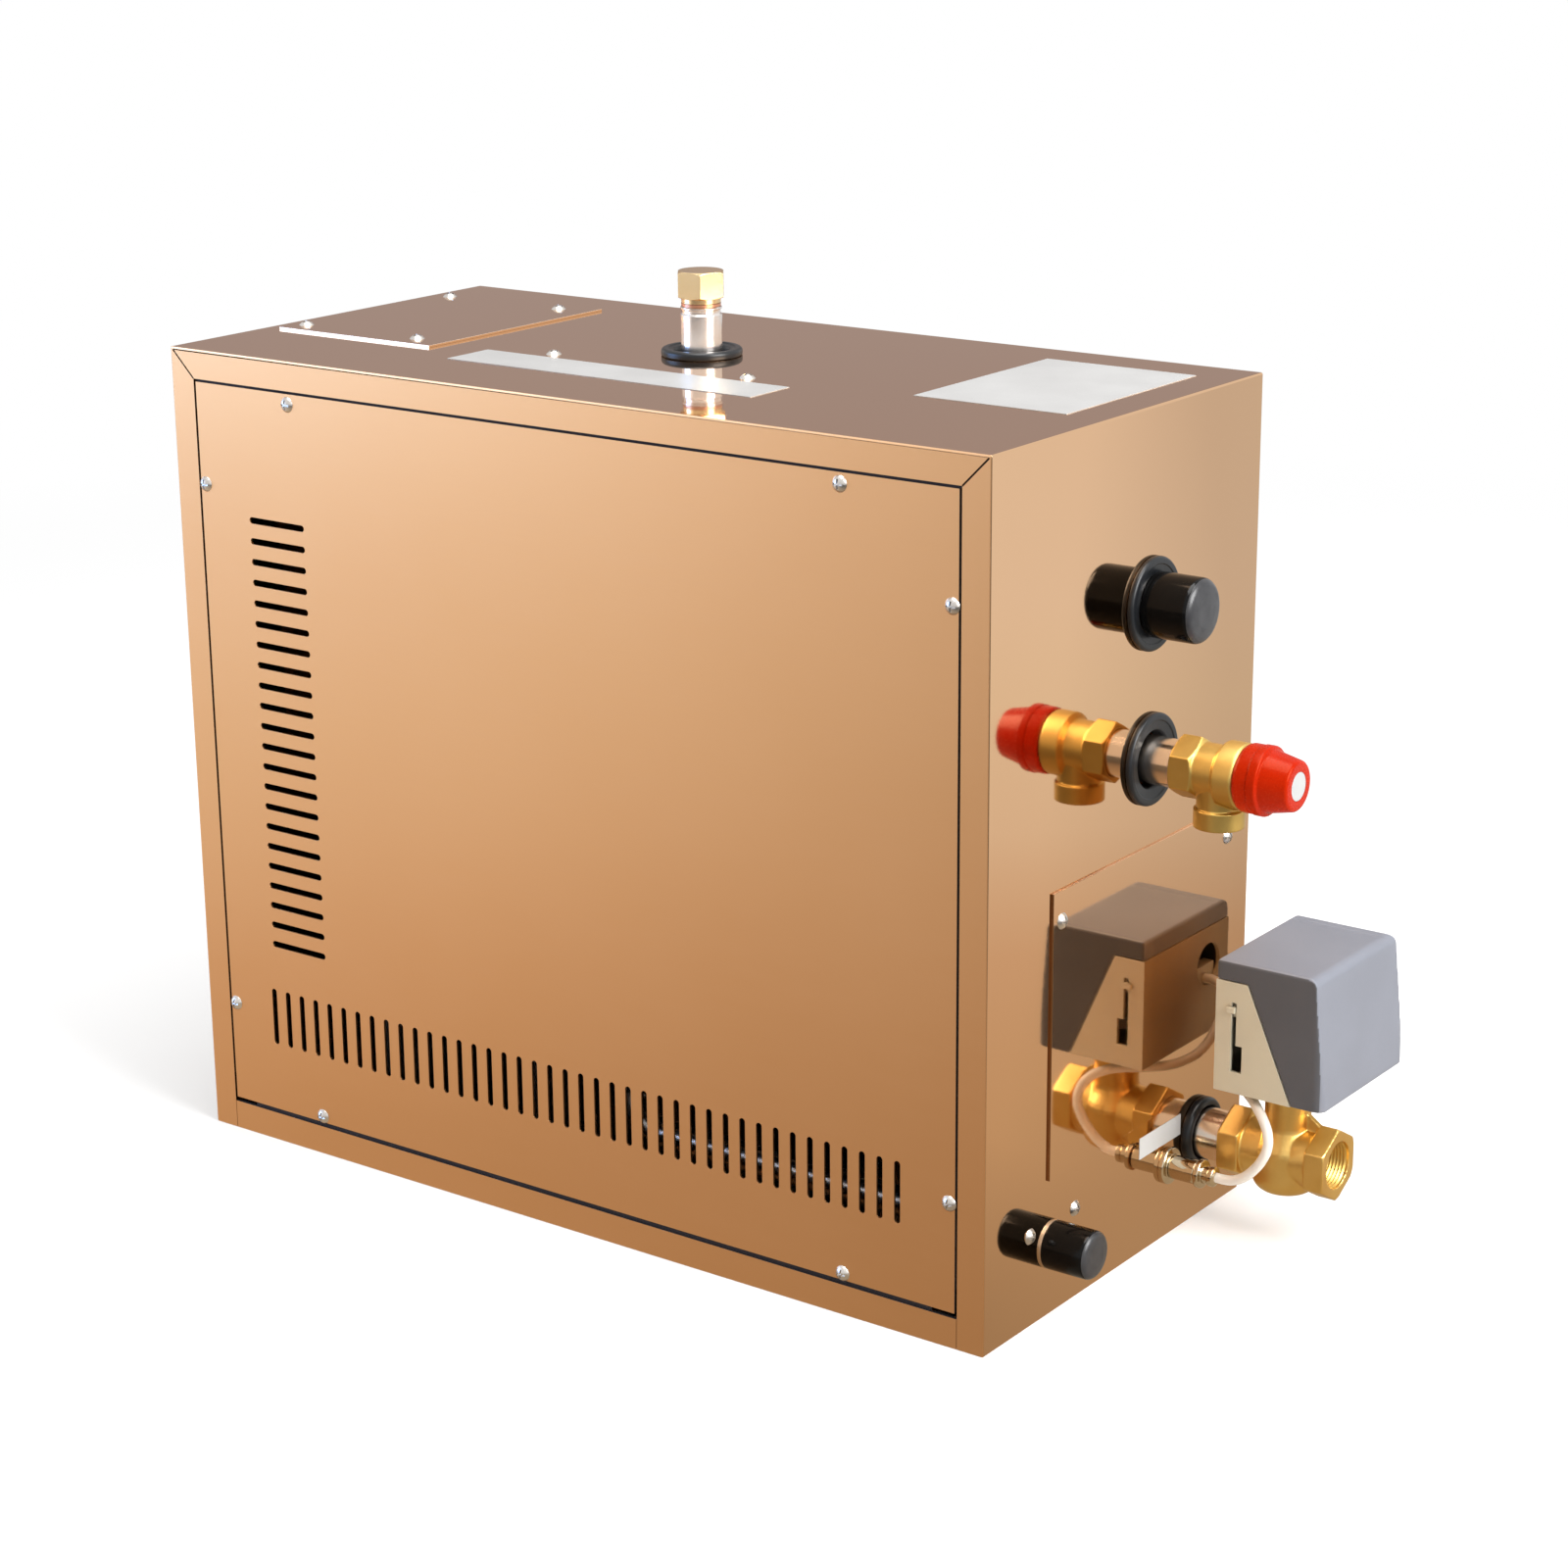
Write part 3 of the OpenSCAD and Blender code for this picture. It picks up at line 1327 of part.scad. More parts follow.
module lead_plug() {
  color("#b9a06c") at_wall(socket_y, socket_z) difference() {
    union() {
      translate([0, 0, plug_front]) cylinder(d = nose_d, h = plug_end - plug_front - over);
      translate([0, 0, coupling_u + coupling_l + gap])
        cylinder(d = plug_rim_d, h = plug_rim_end - coupling_u - coupling_l - gap);
      translate([0, 0, plug_rim_end - over]) cylinder(d = plug_neck2_d, h = plug_end - plug_rim_end);
      translate([0, 0, plug_neck2_end]) cylinder(d = plug_clamp_d, h = plug_end - plug_neck2_end);
    }
  }
}

module coupling_ring() {
  bore = nose_d / 2 + play;
  r = coupling_d / 2;
  g = coupling_groove;
  color("#c4b27e") at_wall(socket_y, socket_z) translate([0, 0, coupling_u]) rotate_extrude() polygon([
      [bore, 0], [r - g, 0], [r, g], [r, coupling_l * groove_shares[0]],
      [r - g, coupling_l * groove_shares[0]], [r - g, coupling_l * groove_shares[1]],
      [r, coupling_l * groove_shares[1]], [r, coupling_l - g], [r - g, coupling_l],
      [bore, coupling_l]]);
}

module lead_socket() {
  color("#c4b27e") at_wall(socket_y, socket_z) {
    cylinder(d = socket_flange_d, h = socket_flange_t);
    cylinder(d = nose_d, h = nose_end);
    translate([0, 0, -socket_body_l]) cylinder(d = socket_body_d, h = socket_body_l);
  }
}

module panel_nuts() {
  color("#c9c9c4") {
    at_wall(socket_y, socket_z) translate([0, 0, -sheet_t - nut_t]) difference() {
      hexagon(nut_af, nut_t, nut_edge);
      translate([0, 0, -over]) cylinder(d = socket_body_d + 2 * play, h = nut_t + 2 * over);
    }
    at_wall(inlet_y, inlet_z) ring(inlet_nut_d, inlet_d + 2 * play, inlet_nut_t);
  }
}

// water inlet

module inlet_cap() {
  color("#1b1b1c") at_wall(inlet_y, inlet_z) translate([0, 0, cap_start_u])
    push_cap(inlet_cap_d, inlet_d + 2 * seat, inlet_cap_l, inlet_cap_end_t, inlet_cap_round);
}

// the valve's own frame: its port points along +X, its armature up, its origin on the casing's side
module at_inlet() translate([wall_x, fy(inlet_y), inlet_z]) children();
module inlet_valve() {
  back = -sheet_t - inlet_plate_t;
  color("#e6e4df") at_inlet() difference() {
    union() {
      box(back, -sheet_t, -inlet_plate_y, inlet_plate_w - inlet_plate_y, -inlet_plate_low,
          inlet_plate_h - inlet_plate_low);
      rotate([0, 90, 0]) translate([0, 0, back]) cylinder(d = inlet_d, h = inlet_end_u - back);
      rotate([0, 90, 0]) translate([0, 0, back - inlet_body_l])
          cylinder(d = inlet_body_d, h = inlet_body_l);
      rotate([0, 90, 0]) translate([0, 0, back - inlet_body_l - spigot_l])
          cylinder(d = spigot_d, h = spigot_l);
      translate([-coil_u, 0, 0]) cylinder(d = armature_d, h = armature_h);
    }
    rotate([0, 90, 0]) translate([0, 0, -coil_u / 2]) cylinder(d = inlet_bore_d, h = coil_u + inlet_end_u);
    rotate([0, 90, 0]) translate([0, 0, back - inlet_body_l - spigot_l - over])
      cylinder(d = flow_d, h = inlet_body_l + spigot_l);
    translate([-coil_u, 0, 0]) cylinder(d = jet_d, h = armature_h / 2);
    translate([-coil_u, 0, plunger_z - seat])
        cylinder(d = plunger_d + 2 * play, h = armature_h - 2 * plunger_z);
    for (p = inlet_spots()) translate([-2 * sheet_t - inlet_plate_t, p[0] - inlet_y, p[1] - inlet_z])
      rotate([0, 90, 0]) cylinder(d = screw_hole(), h = 2 * sheet_t + inlet_plate_t);
  }
}

module inlet_coil() {
  color("#3b5f9a") at_inlet() translate([-coil_u, 0, 0]) difference() {
    box(-coil_w / 2, coil_w / 2, -coil_d / 2, coil_d / 2, coil_z, coil_z + coil_h);
    cylinder(d = armature_d + 2 * play, h = 2 * armature_h);
  }
}

module inlet_plunger() {
  color("#c6c9cb") at_inlet() translate([-coil_u, 0, plunger_z]) cylinder(d = plunger_d, h = plunger_h);
}

module fill_pipe() {
  color("#c9c4bf") bent_pipe(inlet_y, inlet_z, fill_d, fill_d - 2 * fill_wall, fill_bend,
      wall_x - sheet_t - inlet_plate_t - inlet_body_l - seat);
}

// heater, probe and thermostat

module at_heater() at_tank() translate([heater_reach, 0, heater_z]) rotate([0, 90, 0]) children();
module bolt_spots() for (i = [0:bolt_n - 1]) rotate(i * 360 / bolt_n)
  translate([bolt_circle / 2, 0, 0]) children();
module element_spots() for (i = [-1:1]) for (s = [-1, 1])
  translate([i * element_pitch, s * element_w / 2, 0]) children();

module heater_flange() {
  color("#b5b9bb") at_heater() difference() {
    translate([0, 0, seat]) cylinder(d = heater_d, h = heater_plate_t);
    bolt_spots() translate([0, 0, -over]) cylinder(d = bolt_d + 2 * play, h = heater_plate_t + 2 * over);
    element_spots() translate([0, 0, -over])
        cylinder(d = element_d + 2 * play, h = heater_plate_t + 2 * over);
  }
}

module heating_elements() {
  color("#8f8a86") at_heater() for (i = [-1:1]) translate([i * element_pitch, 0, 0]) {
    for (s = [-1, 1]) translate([0, s * element_w / 2, -element_l]) {
      cylinder(d = element_d, h = element_l + heater_plate_t + over);
      cylinder(d = tail_d, h = element_l + heater_plate_t + element_tail);
    }
    translate([0, 0, -element_l]) rotate([0, 90, 0]) rotate([0, 0, -90])
      rotate_extrude(angle = 180) translate([element_w / 2, 0]) circle(d = element_d);
  }
}

module flange_bolts() {
  color("#c3c6c8") at_heater() bolt_spots() {
    translate([0, 0, -heater_ring_t - nut_h])
        cylinder(d = bolt_d, h = heater_ring_t + nut_h + heater_plate_t + 2 * seat);
    translate([0, 0, heater_plate_t + 2 * seat]) hexagon(bolt_af, bolt_head_h, nut_edge);
    translate([0, 0, -heater_ring_t - nut_h - seat]) hexagon(bolt_af, nut_h, nut_edge);
  }
}

module level_probe() {
  color("#bfc3c5") at_tank() translate([-probe_x, 0, tank_top]) {
    translate([0, 0, -tank_t]) cylinder(d = probe_d, h = tank_t + over);
    hexagon(probe_af, probe_h, nut_edge);
    cylinder(d = insulator_d, h = probe_h + insulator_h);
    for (i = [0:2]) rotate(i * 120) translate([rod_ring, 0, -rod_l - i * rod_step])
      cylinder(d = rod_d, h = rod_l + i * rod_step + probe_h);
  }
}

module at_limit() at_tank() rotate(limit_turn)
  translate([tank_r + limit_pad_t, 0, relief_z]) rotate([0, 90, 0]) children();
module limit_thermostat() {
  color("#d9d4c8") at_limit() difference() {
    translate([0, 0, play]) cylinder(d = limit_d, h = limit_l);
    translate([0, 0, limit_l - button_l]) cylinder(d = button_d + 2 * play, h = 2 * button_l);
  }
}

module reset_button() {
  color("#c2362b") at_limit() translate([0, 0, limit_l + button_out - button_l])
      cylinder(d = button_d, h = button_l);
}

// controls

module control_board() {
  x = fx(partition_x) - standoff_l - board_t;
  color("#2f6b45") {
    box(x, x + board_t, fy(board_y), fy(board_y + board_w), board_z, board_z + board_h);
    for (y = [board_edge, board_w - board_edge]) for (z = [board_edge, board_h - board_edge])
      translate([x, fy(board_y + y), board_z + z]) rotate([0, 90, 0])
        cylinder(d = standoff_d, h = board_t + standoff_l - play);
    for (i = [0:relay_n - 1]) box(x - relay_t, x + play, fy(board_y + board_edge + i * relay_pitch),
        fy(board_y + board_edge + i * relay_pitch + relay_w), board_z + relay_z,
        board_z + relay_z + relay_h);
    box(x - supply_t, x + play, fy(board_y + supply_y), fy(board_y + supply_y + supply_w),
        board_z + supply_z, board_z + supply_z + supply_w);
    for (i = [0:can_n - 1])
      translate([x, fy(board_y + board_w - 2 * board_edge), board_z + supply_z + i * can_pitch])
        rotate([0, -90, 0]) cylinder(d = can_d, h = can_l);
  }
}

module contactors() {
  x = fx(partition_x);
  color("#56585b") for (i = [0, 1])
    translate([0, fy(contactor_y + i * (contactor_w + contactor_gap)), contactor_z]) {
      box(x - contactor_d, x - play, 0, contactor_w, contactor_low, contactor_high);
      box(x - contactor_back, x - play, 0, contactor_w, 0, contactor_h);
    }
}

module terminal_block() {
  x = fx(partition_x);
  pitch = terminal_l / terminal_n;
  color("#d9d7cf") difference() {
    box(x - terminal_d, x - play, fy(terminal_y), fy(terminal_y + terminal_l), terminal_z,
        terminal_z + terminal_h);
    for (i = [0:terminal_n - 1]) for (s = [0, 1]) translate([x - terminal_d + s * terminal_d / 2, 0, 0])
      box(terminal_wall, terminal_d / 2 - terminal_wall, fy(terminal_y + i * pitch + terminal_wall),
          fy(terminal_y + (i + 1) * pitch - terminal_wall), terminal_z + terminal_h - well_t,
          terminal_z + terminal_h + over);
  }
}

shell();
base_tray();
rear_panel();
front_panel();
front_panel_screws();
casing_screws();
access_cover();
wiring_cover();
blank_labels();
partition();
cable_grommets();
service_tube();
hex_plug();
plug_washer();
service_grommet();
steam_pipe();
steam_cap();
steam_grommet();
relief_nipple();
relief_grommet();
relief_body();
relief_bonnet();
relief_stem();
relief_spring();
relief_knob();
drain_pipe();
drain_grommet();
valve_body();
valve_ball();
ball_seats();
valve_stem();
actuator_base();
actuator_cover();
manual_lever();
drive_sector();
motor_pinion();
actuator_motor();
lead_clamp();
drain_lead();
lead_plug();
coupling_ring();
lead_socket();
panel_nuts();
inlet_cap();
inlet_valve();
inlet_coil();
inlet_plunger();
fill_pipe();
tank();
tank_stand();
top_bracket();
heater_flange();
heating_elements();
flange_bolts();
level_probe();
limit_thermostat();
reset_button();
control_board();
contactors();
terminal_block();
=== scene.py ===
import bpy
import math
from mathutils import Matrix, Vector


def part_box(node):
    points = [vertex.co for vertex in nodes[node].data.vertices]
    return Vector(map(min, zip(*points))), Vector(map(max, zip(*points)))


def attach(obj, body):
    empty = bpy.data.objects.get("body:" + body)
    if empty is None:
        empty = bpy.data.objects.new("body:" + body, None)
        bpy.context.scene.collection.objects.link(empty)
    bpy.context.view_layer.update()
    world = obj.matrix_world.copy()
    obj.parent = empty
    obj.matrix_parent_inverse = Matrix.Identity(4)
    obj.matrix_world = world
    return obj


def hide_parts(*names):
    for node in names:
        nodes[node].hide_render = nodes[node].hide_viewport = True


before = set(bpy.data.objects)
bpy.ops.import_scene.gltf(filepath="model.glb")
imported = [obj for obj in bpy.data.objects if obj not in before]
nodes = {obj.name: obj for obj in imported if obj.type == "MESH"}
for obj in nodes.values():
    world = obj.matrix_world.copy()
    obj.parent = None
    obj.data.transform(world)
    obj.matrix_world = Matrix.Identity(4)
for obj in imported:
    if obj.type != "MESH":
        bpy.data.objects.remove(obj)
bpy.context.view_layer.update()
bpy.ops.object.select_all(action="DESELECT")
print("frame loaded")

# camera, as in the photo
cameraSetup = {
    "place": (1.03845, -1.34326, 0.72395),
    "azimuth": 36.385,
    "elevation": 16.988,
    "roll": -0.5155,
    "lens": 78.92,
    "sensor": 36,
    "farthest": 100,
}


def addCamera(setup):
    bpy.ops.object.camera_add()
    camera = bpy.context.object
    camera.data.lens = setup["lens"]
    camera.data.sensor_width = setup["sensor"]
    camera.data.clip_end = setup["farthest"]
    turn = Matrix.Rotation(math.radians(setup["azimuth"]), 4, "Z")
    tilt = Matrix.Rotation(math.radians(90 - setup["elevation"]), 4, "X")
    roll = Matrix.Rotation(math.radians(setup["roll"]), 4, "Z")
    camera.matrix_world = Matrix.Translation(setup["place"]) @ turn @ tilt @ roll
    bpy.context.scene.camera = camera


addCamera(cameraSetup)
bpy.context.scene.view_settings.view_transform = "Standard"
print("camera placed")

# studio
plainWhite = (1, 1, 1, 1)
studio = {
    "ambient": 0.22,
    "floorColour": (0.95, 0.95, 0.95, 1),
    "floorSize": 60,
    "floorDrop": 0.0002,           # keeps the floor clear of the casing's foot
    "floorWhite": (0.45, 1.0),     # how much plain white the camera sees in the floor, near and far
    "floorFade": (0.45, 1.9),      # distances of near and far
    "mirrorTones": [               # painted shade: the floor that polished steel sees is darker and warmer close by
        (0.17, (0.65, 0.52, 0.37)), (0.25, (0.72, 0.58, 0.42)), (0.375, (0.79, 0.65, 0.52)),
        (0.52, (0.92, 0.88, 0.82)), (0.72, (0.98, 0.98, 0.93)), (0.92, (1.0, 1.0, 1.0)),
    ],
    "mirrorReach": 1.6,            # the distance that the tones are shares of
    "mirrorCentre": (0.03, 0.03, 0),
    "mirrorTurn": 0.1,             # half the strip in which the front's floor gives way to the right side's
    "mirrorSides": {               # painted shade: how strong the tones are, across the floor that each side sees
        "right": {"way": (-1.73, 1, 0), "from": -0.56, "to": -0.29, "tones": (1, 0.77)},
        "front": {"way": (-1.55, 1, 0), "from": -0.55, "to": 0.1, "tones": (0.72, 1)},
        "bend": {"way": (-1.55, 1, 0), "from": -1.3, "to": -0.75, "tones": (0.3, 1)},
    },
    "lamps": {
        "rightSoftbox": {"place": (2.2, -0.1, 1.5), "size": 1.5, "power": 105},
        "leftSoftbox": {"place": (-1.9, -2.3, 0.95), "size": 1.9, "power": 6},
        "topSoftbox": {"place": (0.2, -0.1, 2.6), "size": 1.6, "power": 72},
    },
    "cards": {
        "backCard": {"place": (-1.35, 1.83, 1.0), "size": (3.6, 2.0),
                     "colour": (0.43, 0.37, 0.36, 1), "soft": 0.2},
        "frontCard": {"place": (-2.0, -1.45, 0.75), "size": (1.4, 1.2),
                      "colour": (3.0, 5.2, 10.2, 1), "soft": 0.02},
    },
    "aim": (0, 0, 0.2),
}


def newNode(tree, kind, operation=None):
    node = tree.nodes.new("ShaderNode" + kind)
    if operation:
        node.operation = operation
    return node


def calculated(tree, operation, first, second):
    step = newNode(tree, "Math", operation)
    for number, value in enumerate((first, second)):
        if isinstance(value, (int, float)):
            step.inputs[number].default_value = value
        else:
            tree.links.new(value, step.inputs[number])
    return step.outputs[0]


def mapped(tree, value, low, high, first, last):
    reach = newNode(tree, "MapRange")
    for name, number in zip(("From Min", "From Max", "To Min", "To Max"), (low, high, first, last)):
        reach.inputs[name].default_value = number
    tree.links.new(value, reach.inputs["Value"])
    return reach.outputs[0]


def mixedShaders(tree, share, first, second):
    mix = newNode(tree, "MixShader")
    for number, value in enumerate((share, first, second)):
        tree.links.new(value, mix.inputs[number])
    return mix.outputs[0]


def mirrorOnly(tree):
    # 1 for rays that polished metal sends, unless they light a dull surface
    path = newNode(tree, "LightPath")
    direct = calculated(tree, "LESS_THAN", path.outputs["Diffuse Depth"], 0.5)
    return calculated(tree, "MULTIPLY", path.outputs["Is Glossy Ray"], direct)


def onlySeen(tree):
    # 1 for what the camera, metal and glass see, 0 for what lights the object
    path = newNode(tree, "LightPath")
    through = calculated(tree, "MAXIMUM", path.outputs["Is Camera Ray"], path.outputs["Is Transmission Ray"])
    return calculated(tree, "MAXIMUM", through, mirrorOnly(tree))


def addWorld(setup):
    world = bpy.data.worlds.new("studioAir")
    bpy.context.scene.world = world
    world.use_nodes = True
    tree = world.node_tree
    tree.nodes.clear()
    ambient = newNode(tree, "Background")
    ambient.inputs["Color"].default_value = plainWhite
    ambient.inputs["Strength"].default_value = setup["ambient"]
    white = newNode(tree, "Background")
    white.inputs["Color"].default_value = plainWhite
    out = newNode(tree, "OutputWorld")
    air = mixedShaders(tree, onlySeen(tree), ambient.outputs[0], white.outputs[0])
    tree.links.new(air, out.inputs["Surface"])


def clearMaterial(name):
    material = bpy.data.materials.new(name)
    material.use_nodes = True
    material.node_tree.nodes.clear()
    return material


def floorDistance(tree, centre):
    place = newNode(tree, "TexCoord")
    size = newNode(tree, "VectorMath", "DISTANCE")
    size.inputs[1].default_value = centre
    tree.links.new(place.outputs["Object"], size.inputs[0])
    return size.outputs["Value"], place.outputs["Object"]


def floorInMirror(tree, setup):
    # the floor that metal sees, with painted shade around the object
    distance, place = floorDistance(tree, setup["mirrorCentre"])
    tones = newNode(tree, "ValToRGB")
    ramp = tones.color_ramp.elements
    for i, (at, colour) in enumerate(setup["mirrorTones"]):
        stop = ramp[i] if i < len(ramp) else ramp.new(at)
        stop.position = at
        stop.color = (*colour, 1)
    shares = {}
    for name, side in setup["mirrorSides"].items():
        across = newNode(tree, "VectorMath", "DOT_PRODUCT")
        across.inputs[1].default_value = side["way"]
        tree.links.new(place, across.inputs[0])
        shares[name] = mapped(tree, across.outputs["Value"], side["from"], side["to"], *side["tones"])
    parts = newNode(tree, "SeparateXYZ")
    tree.links.new(place, parts.inputs[0])
    turn = setup["mirrorTurn"]
    either = newNode(tree, "Mix")
    tree.links.new(mapped(tree, parts.outputs["Y"], -turn, turn, 1, 0), either.inputs[0])
    tree.links.new(shares["right"], either.inputs[2])
    tree.links.new(calculated(tree, "MULTIPLY", shares["front"], shares["bend"]), either.inputs[3])
    glow = newNode(tree, "Emission")
    tree.links.new(mapped(tree, distance, 0, setup["mirrorReach"], 0, 1), tones.inputs[0])
    tree.links.new(tones.outputs[0], glow.inputs["Color"])
    tree.links.new(either.outputs[0], glow.inputs["Strength"])
    return glow.outputs[0]


def addFloor(setup):
    bpy.ops.mesh.primitive_plane_add(size=setup["floorSize"], location=(0, 0, -setup["floorDrop"]))
    floor = bpy.context.object
    floor.name = "studioFloor"
    material = clearMaterial("studioFloorPaint")
    tree = material.node_tree
    paint = newNode(tree, "BsdfDiffuse")
    paint.inputs["Color"].default_value = setup["floorColour"]
    white = newNode(tree, "Emission")
    path = newNode(tree, "LightPath")
    fade = mapped(tree, floorDistance(tree, (0, 0, 0))[0], *setup["floorFade"], *setup["floorWhite"])
    share = calculated(tree, "MULTIPLY", path.outputs["Is Camera Ray"], fade)
    seen = mixedShaders(tree, share, paint.outputs[0], white.outputs[0])
    mirrored = mixedShaders(tree, mirrorOnly(tree), seen, floorInMirror(tree, setup))
    out = newNode(tree, "OutputMaterial")
    tree.links.new(mirrored, out.inputs["Surface"])
    floor.data.materials.append(material)


def lookingAt(place, aim):
    way = Vector(aim) - Vector(place)
    return way.to_track_quat("-Z", "Y").to_euler()


def addLamp(name, lamp, aim):
    bpy.ops.object.light_add(type="AREA", location=lamp["place"], rotation=lookingAt(lamp["place"], aim))
    light = bpy.context.object
    light.name = name
    light.data.shape = "SQUARE"
    light.data.size = lamp["size"]
    light.data.energy = lamp["power"]


def addCard(name, card, aim):
    # a card that only polished surfaces see, with soft edges
    bpy.ops.mesh.primitive_plane_add(size=1, location=card["place"], rotation=lookingAt(card["place"], aim))
    sheet = bpy.context.object
    sheet.name = name
    sheet.scale = (*card["size"], 1)
    sheet.visible_camera = False
    sheet.visible_diffuse = False
    sheet.visible_shadow = False
    material = clearMaterial(name + "Paint")
    tree = material.node_tree
    glow = newNode(tree, "Emission")
    glow.inputs["Color"].default_value = card["colour"]
    clear = newNode(tree, "BsdfTransparent")
    place = newNode(tree, "TexCoord")
    size = newNode(tree, "VectorMath", "ABSOLUTE")
    parts = newNode(tree, "SeparateXYZ")
    tree.links.new(place.outputs["Object"], size.inputs[0])
    tree.links.new(size.outputs[0], parts.inputs[0])
    widest = calculated(tree, "MAXIMUM", parts.outputs["X"], parts.outputs["Y"])
    half = 0.5     # the sheet is 1 wide in its own coordinates
    rim = mapped(tree, widest, half - card["soft"], half, 0, 1)
    out = newNode(tree, "OutputMaterial")
    tree.links.new(mixedShaders(tree, rim, glow.outputs[0], clear.outputs[0]), out.inputs["Surface"])
    sheet.data.materials.append(material)


addWorld(studio)
addFloor(studio)
for lampName, lampValues in studio["lamps"].items():
    addLamp(lampName, lampValues, studio["aim"])
for cardName, cardValues in studio["cards"].items():
    addCard(cardName, cardValues, studio["aim"])
print("studio lit")

# node groups that several finishes share
grainLook = {"detail": 3, "driftScale": 9, "driftDetail": 4, "driftShare": 0.5, "contrast": (0.3, 0.7)}
toneLook = {"detail": 5, "contrast": (0.35, 0.65)}


def newGroup(name, inputs, outputs):
    group = bpy.data.node_groups.new(name, "ShaderNodeTree")
    for label, kind, value in inputs:
        socket = group.interface.new_socket(label, in_out="INPUT", socket_type=kind)
        if value is not None:
            socket.default_value = value
    for label, kind in outputs:
        group.interface.new_socket(label, in_out="OUTPUT", socket_type=kind)
    entry = group.nodes.new("NodeGroupInput")
    leave = group.nodes.new("NodeGroupOutput")
    return group, entry, leave


def makeGrainGroup(look):
    # fine grain: a roughness that drifts and a height for the bump
    group, entry, leave = newGroup("fineGrain", [
        ("Vector", "NodeSocketVector", None),
        ("Stretch", "NodeSocketVector", (1, 1, 1)),
        ("Scale", "NodeSocketFloat", 400),
        ("Smoothest", "NodeSocketFloat", 0.2),
        ("Roughest", "NodeSocketFloat", 0.3),
    ], [("Roughness", "NodeSocketFloat"), ("Height", "NodeSocketFloat")])
    stretch = newNode(group, "VectorMath", "MULTIPLY")
    noise = newNode(group, "TexNoise")
    noise.inputs["Detail"].default_value = look["detail"]
    drift = newNode(group, "TexNoise")
    drift.inputs["Scale"].default_value = look["driftScale"]
    drift.inputs["Detail"].default_value = look["driftDetail"]
    blend = newNode(group, "Mix")
    blend.inputs[0].default_value = look["driftShare"]
    reach = newNode(group, "MapRange")
    reach.inputs["From Min"].default_value, reach.inputs["From Max"].default_value = look["contrast"]
    links = group.links
    links.new(entry.outputs["Vector"], stretch.inputs[0])
    links.new(entry.outputs["Stretch"], stretch.inputs[1])
    links.new(stretch.outputs[0], noise.inputs["Vector"])
    links.new(entry.outputs["Scale"], noise.inputs["Scale"])
    links.new(entry.outputs["Vector"], drift.inputs["Vector"])
    links.new(noise.outputs["Fac"], blend.inputs[2])
    links.new(drift.outputs["Fac"], blend.inputs[3])
    links.new(blend.outputs[0], reach.inputs["Value"])
    links.new(entry.outputs["Smoothest"], reach.inputs["To Min"])
    links.new(entry.outputs["Roughest"], reach.inputs["To Max"])
    links.new(reach.outputs[0], leave.inputs["Roughness"])
    links.new(noise.outputs["Fac"], leave.inputs["Height"])
    return group


def makeDriftGroup(look):
    # colour that drifts a little between two tones
    group, entry, leave = newGroup("toneDrift", [
        ("Vector", "NodeSocketVector", None),
        ("Scale", "NodeSocketFloat", 6),
        ("Main", "NodeSocketColor", (0.5, 0.5, 0.5, 1)),
        ("Other", "NodeSocketColor", (0.5, 0.5, 0.5, 1)),
    ], [("Color", "NodeSocketColor")])
    noise = newNode(group, "TexNoise")
    noise.inputs["Detail"].default_value = look["detail"]
    spread = newNode(group, "MapRange")
    spread.inputs["From Min"].default_value, spread.inputs["From Max"].default_value = look["contrast"]
    mix = newNode(group, "Mix")
    mix.data_type = "RGBA"     # its colours are inputs 6 and 7 and output 2
    links = group.links
    links.new(entry.outputs["Vector"], noise.inputs["Vector"])
    links.new(entry.outputs["Scale"], noise.inputs["Scale"])
    links.new(noise.outputs["Fac"], spread.inputs["Value"])
    links.new(spread.outputs[0], mix.inputs[0])
    links.new(entry.outputs["Main"], mix.inputs[6])
    links.new(entry.outputs["Other"], mix.inputs[7])
    links.new(mix.outputs[2], leave.inputs["Color"])
    return group


grainGroup = makeGrainGroup(grainLook)
driftGroup = makeDriftGroup(toneLook)

